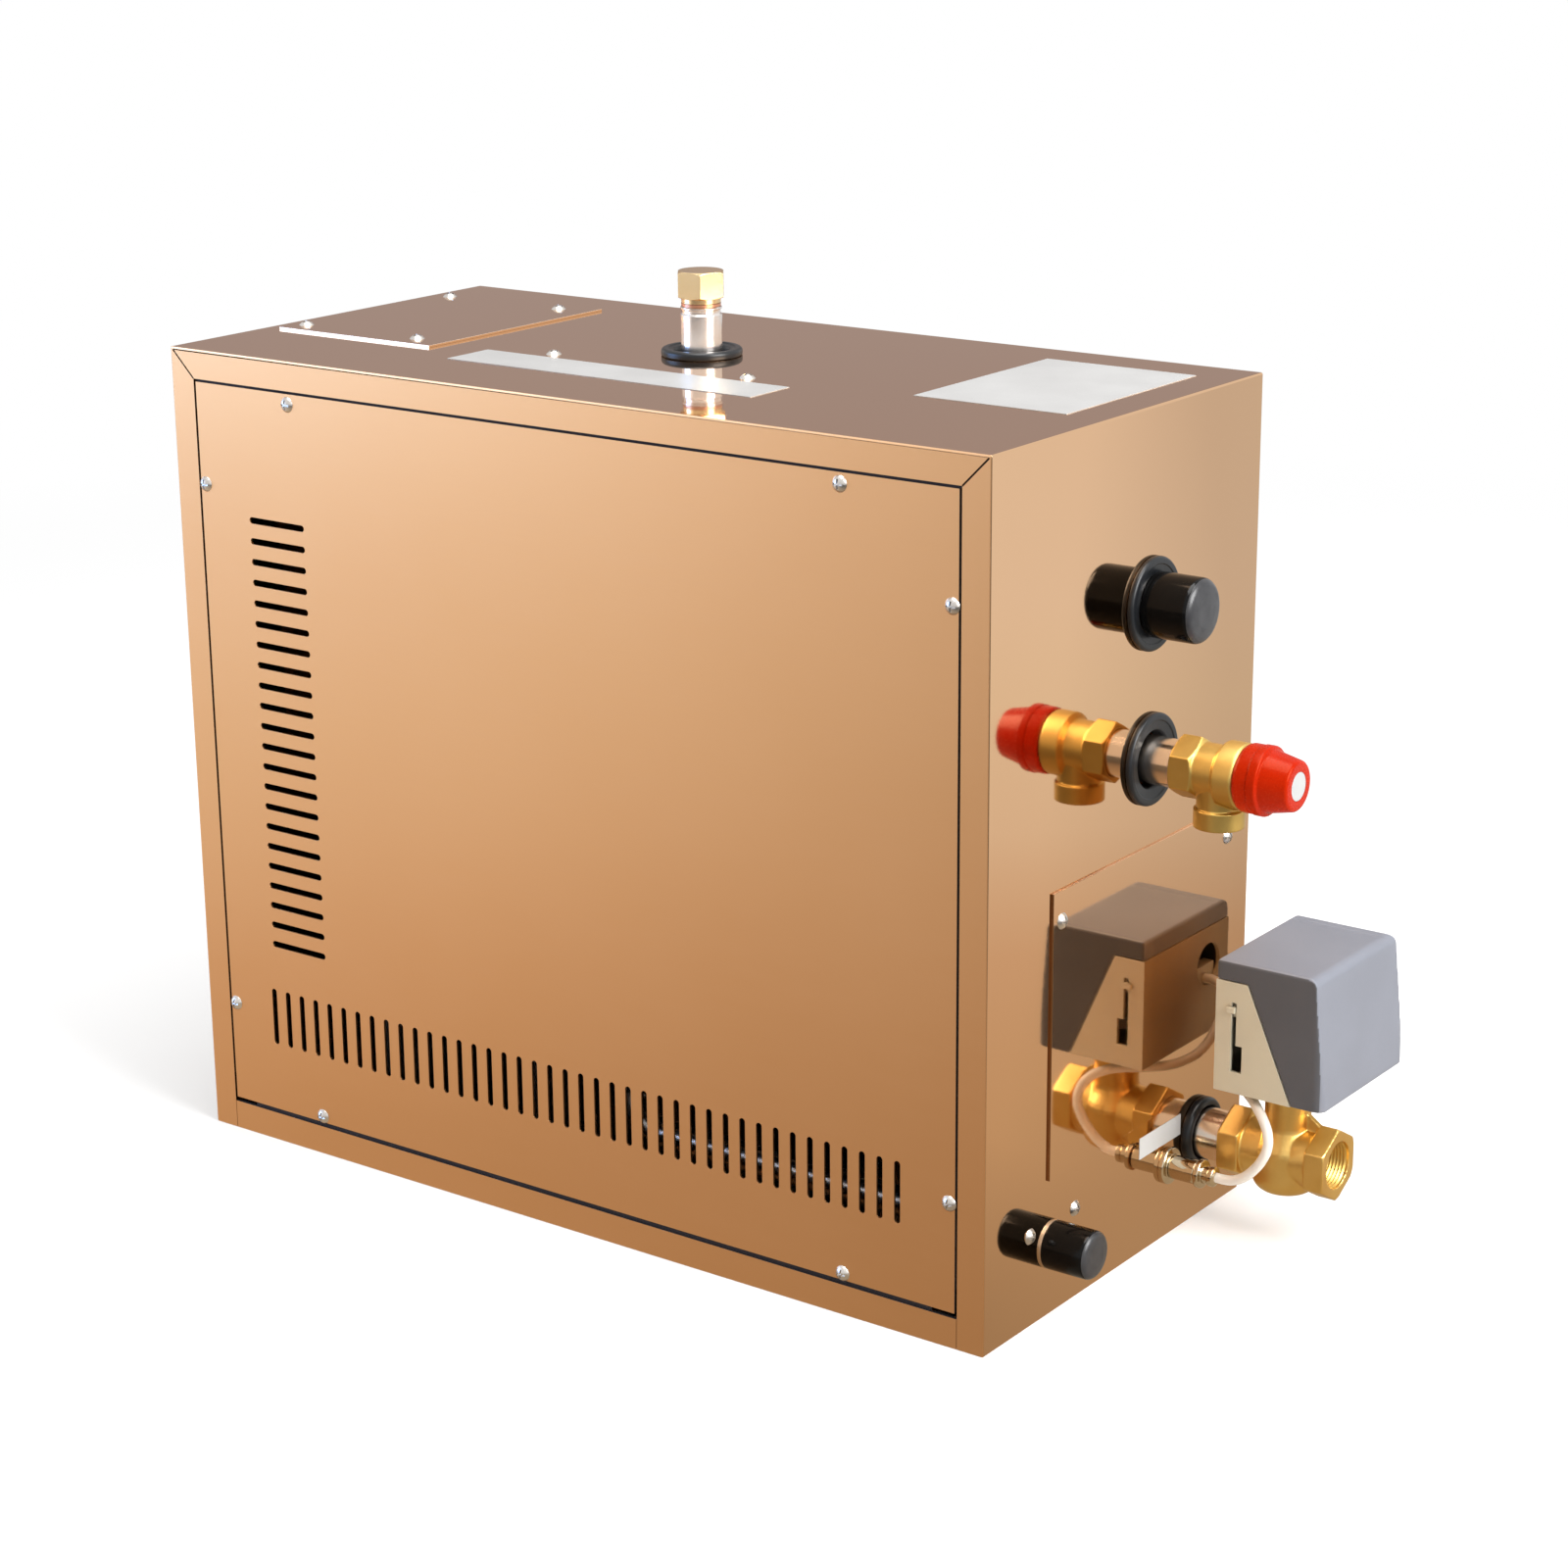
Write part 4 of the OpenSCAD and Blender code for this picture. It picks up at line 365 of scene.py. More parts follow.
# finishes: two tones, gloss from and to, size of the grain, bump, size of the drift between the tones
plainFinish = {"stretch": (1, 1, 1), "shine": 0.5, "tint": (1, 1, 1), "bumpDepth": 0.0005}
finishes = {
    "coatedSteel": {"main": (0.74, 0.47, 0.27), "other": (0.72, 0.45, 0.26), "metal": 1,
                    "gloss": (0.03, 0.055), "grain": 900, "bump": 0.004, "drift": 3},
    "frontSteel": {"main": (0.725, 0.388, 0.172), "other": (0.715, 0.378, 0.168), "metal": 1,
                   "gloss": (0.33, 0.38), "grain": 900, "stretch": (0.04, 1, 1), "bump": 0.02, "drift": 3},
    "screwSteel": {"main": (0.66, 0.62, 0.57), "other": (0.58, 0.54, 0.50), "metal": 1,
                   "gloss": (0.24, 0.34), "grain": 1500, "bump": 0.02, "drift": 60},
    "labelFilm": {"main": (0.365, 0.365, 0.36), "other": (0.33, 0.33, 0.325), "metal": 0,
                  "gloss": (0.32, 0.45), "grain": 1200, "bump": 0.02, "drift": 30},
    "zincSheet": {"main": (0.60, 0.62, 0.63), "other": (0.48, 0.50, 0.52), "metal": 1,
                  "gloss": (0.32, 0.5), "grain": 180, "bump": 0.05, "drift": 40},
    "blackRubber": {"main": (0.008, 0.009, 0.011), "other": (0.006, 0.007, 0.008), "metal": 0,
                    "gloss": (0.26, 0.4), "grain": 1400, "bump": 0.05, "drift": 60, "shine": 0.35},
    "stainless": {"main": (0.74, 0.71, 0.68), "other": (0.66, 0.63, 0.60), "metal": 1,
                  "gloss": (0.16, 0.26), "grain": 700, "bump": 0.02, "drift": 20},
    "turnedNickel": {"main": (0.90, 0.81, 0.72), "other": (0.80, 0.71, 0.62), "metal": 1,
                     "gloss": (0.12, 0.22), "grain": 1600, "stretch": (6, 0.05, 0.05),
                     "bump": 0.05, "drift": 40},
    "turnedTube": {"main": (0.86, 0.80, 0.76), "other": (0.76, 0.70, 0.66), "metal": 1,
                   "gloss": (0.14, 0.24), "grain": 1600, "stretch": (0.05, 0.05, 6),
                   "bump": 0.05, "drift": 40},
    "springSteel": {"main": (0.50, 0.51, 0.52), "other": (0.40, 0.41, 0.42), "metal": 1,
                    "gloss": (0.25, 0.4), "grain": 900, "bump": 0.03, "drift": 50},
    "heaterSheath": {"main": (0.36, 0.33, 0.31), "other": (0.24, 0.22, 0.21), "metal": 1,
                     "gloss": (0.35, 0.55), "grain": 500, "bump": 0.05, "drift": 30},
    "forgedBrass": {"main": (0.69, 0.475, 0.14), "other": (0.61, 0.40, 0.11), "metal": 1,
                    "gloss": (0.36, 0.46), "grain": 1100, "bump": 0.06, "drift": 45},
    "castBrass": {"main": (0.82, 0.56, 0.19), "other": (0.72, 0.45, 0.13), "metal": 1,
                  "gloss": (0.28, 0.42), "grain": 900, "bump": 0.12, "drift": 35},
    "paleBrass": {"main": (0.86, 0.64, 0.36), "other": (0.80, 0.58, 0.31), "metal": 1,
                  "gloss": (0.16, 0.26), "grain": 1200, "bump": 0.02, "drift": 30},
    "copper": {"main": (0.66, 0.34, 0.22), "other": (0.55, 0.26, 0.16), "metal": 1,
               "gloss": (0.25, 0.4), "grain": 900, "bump": 0.03, "drift": 50},
    "blackVinyl": {"main": (0.002, 0.002, 0.002), "other": (0.003, 0.003, 0.003), "metal": 0,
                   "gloss": (0.10, 0.15), "grain": 260, "bump": 0.02, "drift": 30, "shine": 0.14},
    "redPlastic": {"main": (0.32, 0.011, 0.0005), "other": (0.29, 0.009, 0.0005), "metal": 0,
                   "gloss": (0.22, 0.32), "grain": 900, "bump": 0.03, "drift": 40,
                   "shine": 0.2, "tint": (1, 0.36, 0.18)},
    "whitePlastic": {"main": (0.80, 0.79, 0.74), "other": (0.74, 0.73, 0.68), "metal": 0,
                     "gloss": (0.35, 0.5), "grain": 900, "bump": 0.03, "drift": 30},
    "beigePlastic": {"main": (0.42, 0.38, 0.28), "other": (0.39, 0.35, 0.26), "metal": 0,
                     "gloss": (0.38, 0.5), "grain": 1300, "bump": 0.07, "drift": 25},
    "shadedBeige": {"main": (0.28, 0.22, 0.14), "other": (0.25, 0.20, 0.125), "metal": 0,
                    "gloss": (0.38, 0.5), "grain": 1300, "bump": 0.07, "drift": 25},
    "greyPlastic": {"main": (0.15, 0.158, 0.185), "other": (0.14, 0.147, 0.172), "metal": 0,
                    "gloss": (0.40, 0.5), "grain": 1500, "bump": 0.10, "drift": 25},
    "shadedGrey": {"main": (0.070, 0.070, 0.076), "other": (0.064, 0.064, 0.070), "metal": 0,
                   "gloss": (0.44, 0.54), "grain": 1500, "bump": 0.10, "drift": 25, "shine": 0.25},
    "darkPlastic": {"main": (0.05, 0.05, 0.055), "other": (0.04, 0.04, 0.044), "metal": 0,
                    "gloss": (0.4, 0.55), "grain": 1300, "bump": 0.06, "drift": 30},
    "coilPlastic": {"main": (0.03, 0.08, 0.26), "other": (0.025, 0.065, 0.21), "metal": 0,
                    "gloss": (0.35, 0.5), "grain": 1100, "bump": 0.05, "drift": 30},
    "boardGreen": {"main": (0.015, 0.13, 0.045), "other": (0.03, 0.19, 0.07), "metal": 0,
                   "gloss": (0.22, 0.4), "grain": 220, "bump": 0.05, "drift": 90},
    "leadSheath": {"main": (0.56, 0.53, 0.48), "other": (0.52, 0.49, 0.44), "metal": 0,
                   "gloss": (0.35, 0.48), "grain": 900, "bump": 0.03, "drift": 40},
    "gapShade": {"main": (0.020, 0.009, 0.004), "other": (0.014, 0.007, 0.003), "metal": 0,
                 "gloss": (0.7, 0.9), "grain": 300, "bump": 0.02, "drift": 30},
    "edgeShade": {"main": (0.32, 0.17, 0.08), "other": (0.27, 0.14, 0.06), "metal": 1,
                  "gloss": (0.35, 0.45), "grain": 900, "bump": 0.02, "drift": 30},
    # painted highlight: a paler metal on edges and their roundings, where light catches them
    "paintedEdgeHighlight": {"main": (0.80, 0.62, 0.50), "other": (0.72, 0.55, 0.44), "metal": 1,
                "gloss": (0.34, 0.44), "grain": 900, "bump": 0.02, "drift": 30},
    # painted sheen: a lighter grey that stands for the light on the caps' ends
    "paintedSheenVinyl": {"main": (0.030, 0.030, 0.032), "other": (0.016, 0.016, 0.018), "metal": 0,
                     "gloss": (0.25, 0.36), "grain": 200, "bump": 0.05, "drift": 120, "shine": 0.4},
    "plugMetal": {"main": (0.66, 0.56, 0.40), "other": (0.56, 0.46, 0.32), "metal": 1,
                  "gloss": (0.07, 0.12), "grain": 900, "bump": 0.02, "drift": 60},
}
materials = {}


def makeFinish(name, finish):
    material = bpy.data.materials.new(name)
    material.use_nodes = True
    tree = material.node_tree
    shader = tree.nodes["Principled BSDF"]
    place = newNode(tree, "TexCoord")
    drift = newNode(tree, "Group")
    drift.node_tree = driftGroup
    grain = newNode(tree, "Group")
    grain.node_tree = grainGroup
    bump = newNode(tree, "Bump")
    links = tree.links
    links.new(place.outputs["Object"], drift.inputs["Vector"])
    links.new(place.outputs["Object"], grain.inputs["Vector"])
    drift.inputs["Scale"].default_value = finish["drift"]
    drift.inputs["Main"].default_value = (*finish["main"], 1)
    drift.inputs["Other"].default_value = (*finish["other"], 1)
    grain.inputs["Stretch"].default_value = finish["stretch"]
    grain.inputs["Scale"].default_value = finish["grain"]
    grain.inputs["Smoothest"].default_value, grain.inputs["Roughest"].default_value = finish["gloss"]
    bump.inputs["Strength"].default_value = finish["bump"]
    bump.inputs["Distance"].default_value = finish["bumpDepth"]
    links.new(drift.outputs["Color"], shader.inputs["Base Color"])
    links.new(grain.outputs["Roughness"], shader.inputs["Roughness"])
    links.new(grain.outputs["Height"], bump.inputs["Height"])
    links.new(bump.outputs[0], shader.inputs["Normal"])
    shader.inputs["Metallic"].default_value = finish["metal"]
    shader.inputs["Specular IOR Level"].default_value = finish["shine"]
    shader.inputs["Specular Tint"].default_value = (*finish["tint"], 1)
    materials[name] = material


for finishName, finishValues in finishes.items():
    makeFinish(finishName, {**plainFinish, **finishValues})
print("finishes made:", len(materials))

# workshop helpers
mm = 0.001
outX = (1, 0, 0)
upZ = (0, 0, 1)
workshop = {
    "mergeGap": 0.000002, "flatAngle": 0.4,     # joins a CAD copy's loose triangles into plain faces
    "cornerSteps": 6, "seamGap": 0.000005,      # rounds a profile's corners and closes a turned piece
}


def pickOnly(piece):
    bpy.ops.object.select_all(action="DESELECT")
    piece.select_set(True)
    bpy.context.view_layer.objects.active = piece


def applyModifiers(piece):
    pickOnly(piece)
    for modifier in list(piece.modifiers):
        bpy.ops.object.modifier_apply(modifier=modifier.name)


def finishPiece(piece, name, body, finish, replaced=(), smoothAngle=35, flatFaces=False):
    pickOnly(piece)
    bpy.ops.object.transform_apply(location=True, rotation=True, scale=True)
    bpy.ops.object.shade_smooth_by_angle(angle=math.radians(smoothAngle))
    if flatFaces:
        # wide faces keep one plain normal, and only the soft edges turn
        piece.modifiers.new("plainFaces", "WEIGHTED_NORMAL").keep_sharp = True
        applyModifiers(piece)
    piece.name = name
    piece.data.name = name
    piece.data.materials.clear()
    piece.data.materials.append(materials[finish])
    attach(piece, body)
    if replaced:
        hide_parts(*replaced)
    return piece


def paintFaces(piece, finish, wanted):
    # a second finish on some faces, picked by their normal and place
    piece.data.materials.append(materials[finish])
    number = len(piece.data.materials) - 1
    for face in piece.data.polygons:
        if wanted(face.normal, face.center):
            face.material_index = number


def mergedCopy(node):
    # a CAD node's mesh with its loose triangles joined into plain faces
    mesh = nodes[node].data.copy()
    piece = bpy.data.objects.new(node + "Copy", mesh)
    bpy.context.scene.collection.objects.link(piece)
    pickOnly(piece)
    bpy.ops.mesh.customdata_custom_splitnormals_clear()
    bpy.ops.object.mode_set(mode="EDIT")
    bpy.ops.mesh.select_all(action="SELECT")
    bpy.ops.mesh.remove_doubles(threshold=workshop["mergeGap"])
    bpy.ops.mesh.dissolve_limited(angle_limit=math.radians(workshop["flatAngle"]))
    bpy.ops.object.mode_set(mode="OBJECT")
    return piece


def softened(node, finish, width, segments=2, angle=40, body="root"):
    # a folded or moulded part: its sharp edges get a narrow rounding
    piece = mergedCopy(node)
    bevel = piece.modifiers.new("softEdges", "BEVEL")
    bevel.width = width
    bevel.segments = segments
    bevel.limit_method = "ANGLE"
    bevel.angle_limit = math.radians(angle)
    applyModifiers(piece)
    return finishPiece(piece, node + "Piece", body, finish, [node], flatFaces=True)


def cast(node, finish, voxel, rounds):
    # a casting: every inner and outer corner melts into a small fillet
    piece = mergedCopy(node)
    remesh = piece.modifiers.new("voxels", "REMESH")
    remesh.mode = "VOXEL"
    remesh.voxel_size = voxel
    smooth = piece.modifiers.new("fillets", "SMOOTH")
    smooth.iterations = rounds
    applyModifiers(piece)
    return finishPiece(piece, node + "Piece", "root", finish, [node], smoothAngle=50)


def roundedLine(points):
    # points are (radius, distance) or (radius, distance, corner radius)
    line = []
    for i, point in enumerate(points):
        here = Vector(point[:2])
        if len(point) < 3 or i in (0, len(points) - 1):
            line.append(here)
            continue
        corner = point[2]
        before = (Vector(points[i - 1][:2]) - here).normalized()
        after = (Vector(points[i + 1][:2]) - here).normalized()
        half = before.angle(after) / 2
        cut = corner / math.tan(half)
        centre = here + (before + after).normalized() * (corner / math.sin(half))
        start = here + before * cut - centre
        end = here + after * cut - centre
        steps = workshop["cornerSteps"]
        sweep = math.pi - 2 * half
        for k in range(steps + 1):
            mix = k / steps
            bend = (start * math.sin((1 - mix) * sweep) + end * math.sin(mix * sweep)) / math.sin(sweep)
            line.append(centre + bend)
    return line


def turned(points, place, axis, sides=96):
    # a lathe: the profile is drawn point by point, from a plane merged to one point, and spun about the axis
    place = Vector(place)
    axis = Vector(axis)
    side = Vector(outX if axis.z else upZ)
    line = [place + axis * u + side * r for r, u in roundedLine(points)]
    bpy.ops.mesh.primitive_plane_add(size=0.01, location=(0, 0, 0))
    piece = bpy.context.object
    bpy.ops.object.mode_set(mode="EDIT")
    bpy.ops.mesh.select_mode(type="VERT")
    bpy.ops.mesh.select_all(action="SELECT")
    bpy.ops.mesh.merge(type="CENTER")
    bpy.ops.transform.translate(value=line[0])
    for before, after in zip(line, line[1:]):
        bpy.ops.mesh.extrude_region_move(TRANSFORM_OT_translate={"value": after - before})
    bpy.ops.mesh.select_all(action="SELECT")
    bpy.ops.mesh.spin(steps=sides, angle=2 * math.pi, center=place, axis=axis)
    bpy.ops.mesh.select_all(action="SELECT")
    bpy.ops.mesh.remove_doubles(threshold=workshop["seamGap"])
    bpy.ops.mesh.normals_make_consistent(inside=False)
    bpy.ops.object.mode_set(mode="OBJECT")
    return piece


def inMetres(points):
    return [tuple(v * mm for v in p) for p in points]


def closed(points):
    # a profile in metres that ends where it starts
    return inMetres(points) + inMetres(points[:1])


# places on the object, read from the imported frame
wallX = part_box("shell")[1].x
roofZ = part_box("shell")[1].z


def onSide(node):
    low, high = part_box(node)
    return (wallX, (low.y + high.y) / 2, (low.z + high.z) / 2)


def onTop(node):
    low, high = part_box(node)
    return ((low.x + high.x) / 2, (low.y + high.y) / 2, roofZ)


steamAt = onSide("steam_cap")
reliefAt = onSide("relief_knob")
drainAt = onSide("drain_grommet")
inletAt = onSide("inlet_cap")
socketAt = onSide("coupling_ring")
tubeAt = onTop("service_tube")

# white lead from the actuator to its plug
lead = {
    "points": [
        (273.5, 117.5, 112), (268.5, 117.5, 112), (263, 116.5, 110), (260, 114, 105), (259.5, 111, 98.5),
        (260, 107, 91.5), (261.5, 102, 85), (264, 95.5, 80), (267.5, 88, 77.5), (272, 80.5, 76.5),
        (277.5, 73.5, 76.5), (283.5, 67, 77), (289.5, 60.5, 77.5), (295.5, 54.5, 76.5), (301, 50.5, 73),
        (304.5, 48.5, 67.5), (305.5, 47, 61), (303, 46.5, 54), (298, 46.5, 47), (292.5, 46.5, 42),
        (287.5, 46.5, 39.5), (283.2, 46.5, 38.6), (278.2, 46.5, 38.6),
    ],
    "diameter": 0.005,
    "roundness": 8,
}


def addLead(setup):
    points = [Vector(p) * mm for p in setup["points"]]
    curve = bpy.data.curves.new("drainLead", "CURVE")
    curve.dimensions = "3D"
    curve.bevel_depth = setup["diameter"] / 2
    curve.bevel_resolution = setup["roundness"]
    curve.use_fill_caps = True
    line = curve.splines.new("BEZIER")
    line.bezier_points.add(len(points) - 1)
    for knot, point in zip(line.bezier_points, points):
        knot.co = point
        knot.handle_left_type = "AUTO"
        knot.handle_right_type = "AUTO"
    line.resolution_u = setup["roundness"]
    piece = bpy.data.objects.new("whiteLead", curve)
    bpy.context.scene.collection.objects.link(piece)
    bpy.context.view_layer.update()
    length = line.calc_length()
    curve.materials.append(materials["leadSheath"])
    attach(piece, "root")
    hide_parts("drain_lead")
    print("lead length", round(length, 4))
    return piece, points, length


leadPiece, leadPoints, leadLength = addLead(lead)

# casing
casing = {
    "bend": 0.0010, "bendSteps": 4,                         # the shell's folds
    "edge": 0.00025, "coverEdge": 0.00045, "coverSteps": 3,
    "touching": 0.00001,                                    # how near the box's side a corner counts as on it
    "ledge": 0.004, "rim": 0.0006,                          # what lies in shade around the front panel
    "square": 0.95, "front": 0.9,                           # how straight a face looks along an axis
    "lipTilt": 0.2, "accessTilt": 0.3, "wiringTilt": 0.1,   # the least tilt of a face that gets painted edge shade or a painted edge highlight
}


def addShell(setup):
    piece = mergedCopy("shell")
    low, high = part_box("shell")
    mesh = piece.data
    near = setup["touching"]

    def outsides(v):
        return [abs(v.x - low.x) < near or abs(v.x - high.x) < near,
                abs(v.y - low.y) < near or abs(v.y - high.y) < near,
                abs(v.z - high.z) < near]

    bpy.ops.object.mode_set(mode="EDIT")
    bpy.ops.mesh.select_mode(type="EDGE")
    bpy.ops.mesh.select_all(action="DESELECT")
    bpy.ops.object.mode_set(mode="OBJECT")
    for edge in mesh.edges:
        a, b = (outsides(mesh.vertices[i].co) for i in edge.vertices)
        edge.select = sum(p and q for p, q in zip(a, b)) >= 2
    bpy.ops.object.mode_set(mode="EDIT")
    bpy.ops.mesh.bevel(offset=setup["bend"], segments=setup["bendSteps"], affect="EDGES", clamp_overlap=False)
    bpy.ops.object.mode_set(mode="OBJECT")
    finishPiece(piece, "casingShell", "root", "coatedSteel", ["shell"],
                smoothAngle=50, flatFaces=True)

    def onFrame(normal, centre):
        return normal.y < -setup["front"] and centre.y - low.y < setup["edge"]

    def onLedge(normal, centre):
        return normal.y < -setup["front"] and setup["edge"] < centre.y - low.y < setup["ledge"]

    # the frame's front is brushed, and the ledge behind it lies in shade
    paintFaces(piece, "frontSteel", onFrame)
    paintFaces(piece, "gapShade", onLedge)


def addPanel(setup):
    piece = softened("front_panel", "frontSteel", setup["edge"])
    low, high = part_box("front_panel")

    def onRim(normal, centre):
        near = min(centre.x - low.x, high.x - centre.x, centre.z - low.z, high.z - centre.z)
        return near < setup["rim"] and normal.y > -setup["square"]

    paintFaces(piece, "gapShade", onRim)


def addTray(setup):
    piece = softened("base_tray", "frontSteel", setup["edge"])
    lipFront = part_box("base_tray")[0].y

    def inLipGap(normal, centre):
        behind = centre.y - lipFront
        onTopOfLip = normal.z > setup["square"] and behind < setup["ledge"]
        return onTopOfLip or (normal.y < -setup["front"] and behind > setup["edge"])

    def onLipEdge(normal, centre):
        return setup["lipTilt"] < normal.z < setup["square"] and normal.y < -setup["lipTilt"]

    # painted shade in the gap over the lip, and a painted highlight on the lip's rounded edge
    paintFaces(piece, "gapShade", inLipGap)
    paintFaces(piece, "paintedEdgeHighlight", onLipEdge)


def addCovers(setup):
    square, tilt = setup["square"], setup["accessTilt"]
    access = softened("access_cover", "coatedSteel", setup["coverEdge"], setup["coverSteps"])
    # painted shade on the access cover's front and lower edges, a painted highlight on its top edge
    paintFaces(access, "edgeShade", lambda normal, centre: normal.y < -square or normal.z < -tilt)
    paintFaces(access, "paintedEdgeHighlight", lambda normal, centre: normal.z > square or normal.y > square)
    wiring = softened("wiring_cover", "coatedSteel", setup["edge"])
    # painted highlight on the wiring cover's rounded edges
    paintFaces(wiring, "paintedEdgeHighlight", lambda normal, centre: setup["wiringTilt"] < normal.z < square)
    softened("rear_panel", "coatedSteel", setup["edge"])


addShell(casing)
addPanel(casing)
addTray(casing)
addCovers(casing)
print("casing done")

# rubber rings, each held in the sheet by its neck
rings = {
    "steam_grommet": {"at": steamAt, "axis": outX, "bore": 13.5, "neck": 18},
    "relief_grommet": {"at": reliefAt, "axis": outX, "bore": 13.5, "neck": 18},
    "drain_grommet": {"at": drainAt, "axis": outX, "bore": 13.5, "neck": 15.3},
    "service_grommet": {"at": tubeAt, "axis": upZ, "bore": 13.2, "neck": 15.5},
}
ringForm = {
    "sheet": 1.25, "foot": 3, "footWidth": 2, "footRound": 0.6,      # the part behind the sheet
    "baseRound": 0.8, "crown": 0.45, "land": 3.4, "landRound": 0.5,  # rim, rounded by a share of its height
    "step": 0.4, "stepDepth": 0.5, "stepRound": 0.3,                 # the shallow groove inside it
    "dish": 1.2, "dishDepth": 1.0, "dishRound": 0.9, "mouthDepth": 2.4,
}


def addRing(node, ring, form):
    low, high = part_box(node)
    axis = 0 if ring["axis"] == outX else 2
    outer = (high.y - low.y) / 2 / mm
    height = (high[axis] - ring["at"][axis]) / mm
    bore, neck, inner = ring["bore"], ring["neck"], -form["sheet"]
    back, foot, land = inner - form["foot"], neck + form["footWidth"], outer - form["land"]
    points = [
        (bore, back), (foot, back, form["footRound"]), (foot, inner), (neck, inner), (neck, 0),
        (outer, 0, form["baseRound"]), (outer, height, height * form["crown"]),
        (land, height, form["landRound"]),
        (land - form["step"], height - form["stepDepth"], form["stepRound"]),
        (bore + form["dish"], height - form["dishDepth"], form["dishRound"]),
        (bore, height - form["mouthDepth"]),
    ]
    piece = turned(closed(points), ring["at"], ring["axis"])
    finishPiece(piece, node + "Piece", "root", "blackRubber", [node], smoothAngle=45)


for ringNode, ringValues in rings.items():
    addRing(ringNode, ringValues, ringForm)

# push-on caps
caps = {
    "steam_cap": {"at": steamAt, "seat": 3.25, "bore": 13.4, "end": 3, "round": 4.2, "dome": 1.0},
    "inlet_cap": {"at": inletAt, "seat": 0.6, "bore": 10.65, "end": 2.5, "round": 3.2, "dome": 0.7},
}
capForm = {
    "lip": 0.1, "lipRound": 0.3, "lipLength": 1.5, "taper": 0.05, "boreRound": 0.8,
    "domeShare": 0.5, "domeDrop": 0.12, "domeRound": 3,
    "sheenTilt": 0.55, "sheenFrom": 0.9,        # painted sheen: the end is a lighter grey, from this share of the length
}


def addCap(node, cap, form):
    low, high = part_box(node)
    start, stop = min((low.x - wallX) / mm, cap["seat"]), (high.x - wallX) / mm
    outer = (high.y - low.y) / 2 / mm
    bore, rim, end = cap["bore"], stop - cap["dome"], stop - cap["end"]
    points = [
        (bore, start), (outer - form["lip"], start, form["lipRound"]), (outer, start + form["lipLength"]),
        (outer - form["taper"], rim, cap["round"]),
        (outer * form["domeShare"], stop - form["domeDrop"], form["domeRound"]),
        (0, stop), (0, end), (bore, end, form["boreRound"]),
    ]
    tilt, sheenStart = form["sheenTilt"], wallX + rim * form["sheenFrom"] * mm
    piece = turned(closed(points), cap["at"], outX)
    finishPiece(piece, node + "Piece", node, "blackVinyl", [node], smoothAngle=60)
    # the cap's end is painted a lighter grey, a painted sheen
    paintFaces(piece, "paintedSheenVinyl", lambda normal, centre: normal.x > tilt and centre.x > sheenStart)


for capNode, capValues in caps.items():
    addCap(capNode, capValues, capForm)
print("rings and caps done")

# service tube and plug on the top
tube = {
    "outer": 10.45, "bore": 8.4, "foot": -42, "rise": 24.6,
    "neck": 9.75, "neckLength": 3.2, "slope": 0.8, "slopeRound": 0.3,
    "collar": 1.4, "collarSlope": 0.2, "collarInset": 0.1,
    "edge": 0.5, "edgeHeight": 0.3, "edgeRound": 0.1,
}
hexPlug = {"edge": 0.0003, "steps": 3, "angle": 20}


def addTube(t):
    outer, bore, top = t["outer"], t["bore"], t["rise"]
    neck, collar, rim = top - t["neckLength"], top - t["collar"], outer - t["collarInset"]
    points = [
        (bore, t["foot"]), (outer, t["foot"]), (outer, neck - t["slope"], t["slopeRound"]),
        (t["neck"], neck, t["slopeRound"]), (t["neck"], collar, t["collarSlope"]),
        (rim, collar + t["collarSlope"], t["collarSlope"]), (rim, top - t["edgeHeight"], t["edgeRound"]),
        (outer - t["edge"], top), (bore, top),
    ]
    piece = turned(closed(points), tubeAt, upZ)
    finishPiece(piece, "serviceTube", "root", "turnedTube", ["service_tube"], smoothAngle=30)


addTube(tube)
softened("hex_plug", "paleBrass", hexPlug["edge"], hexPlug["steps"], hexPlug["angle"], "plug")

# relief valve
relief = {"voxel": 0.0004, "rounds": 5, "nippleEdge": 0.0002}
knob = {
    # the skirt's points count from the knob's radius and foot, the collar's from its radius and collarAt
    "skirt": [(-0.9, 0, 0.3), (-0.35, 1.6, 0.8)],
    "collarAt": 12,
    "collar": [(-0.35, -5.2, 0.2), (-0.6, -4.9, 0.2), (0, -4.2, 0.4), (0, 0, 1.2)],
    "cone": 15.0, "coneStart": 0.7, "coneRound": 0.8, "end": 12.1, "endRound": 1.9,
    "bore": 9.5, "boreLength": 14, "pin": 2.5, "pinLength": 6,
    "discRadius": 7, "discDepth": 0.4, "discRound": 0.1, "sides": 128,
}
knobDisc = {"gap": 0.15, "lift": 0.02, "sink": 0.1, "round": 0.06, "sides": 64}


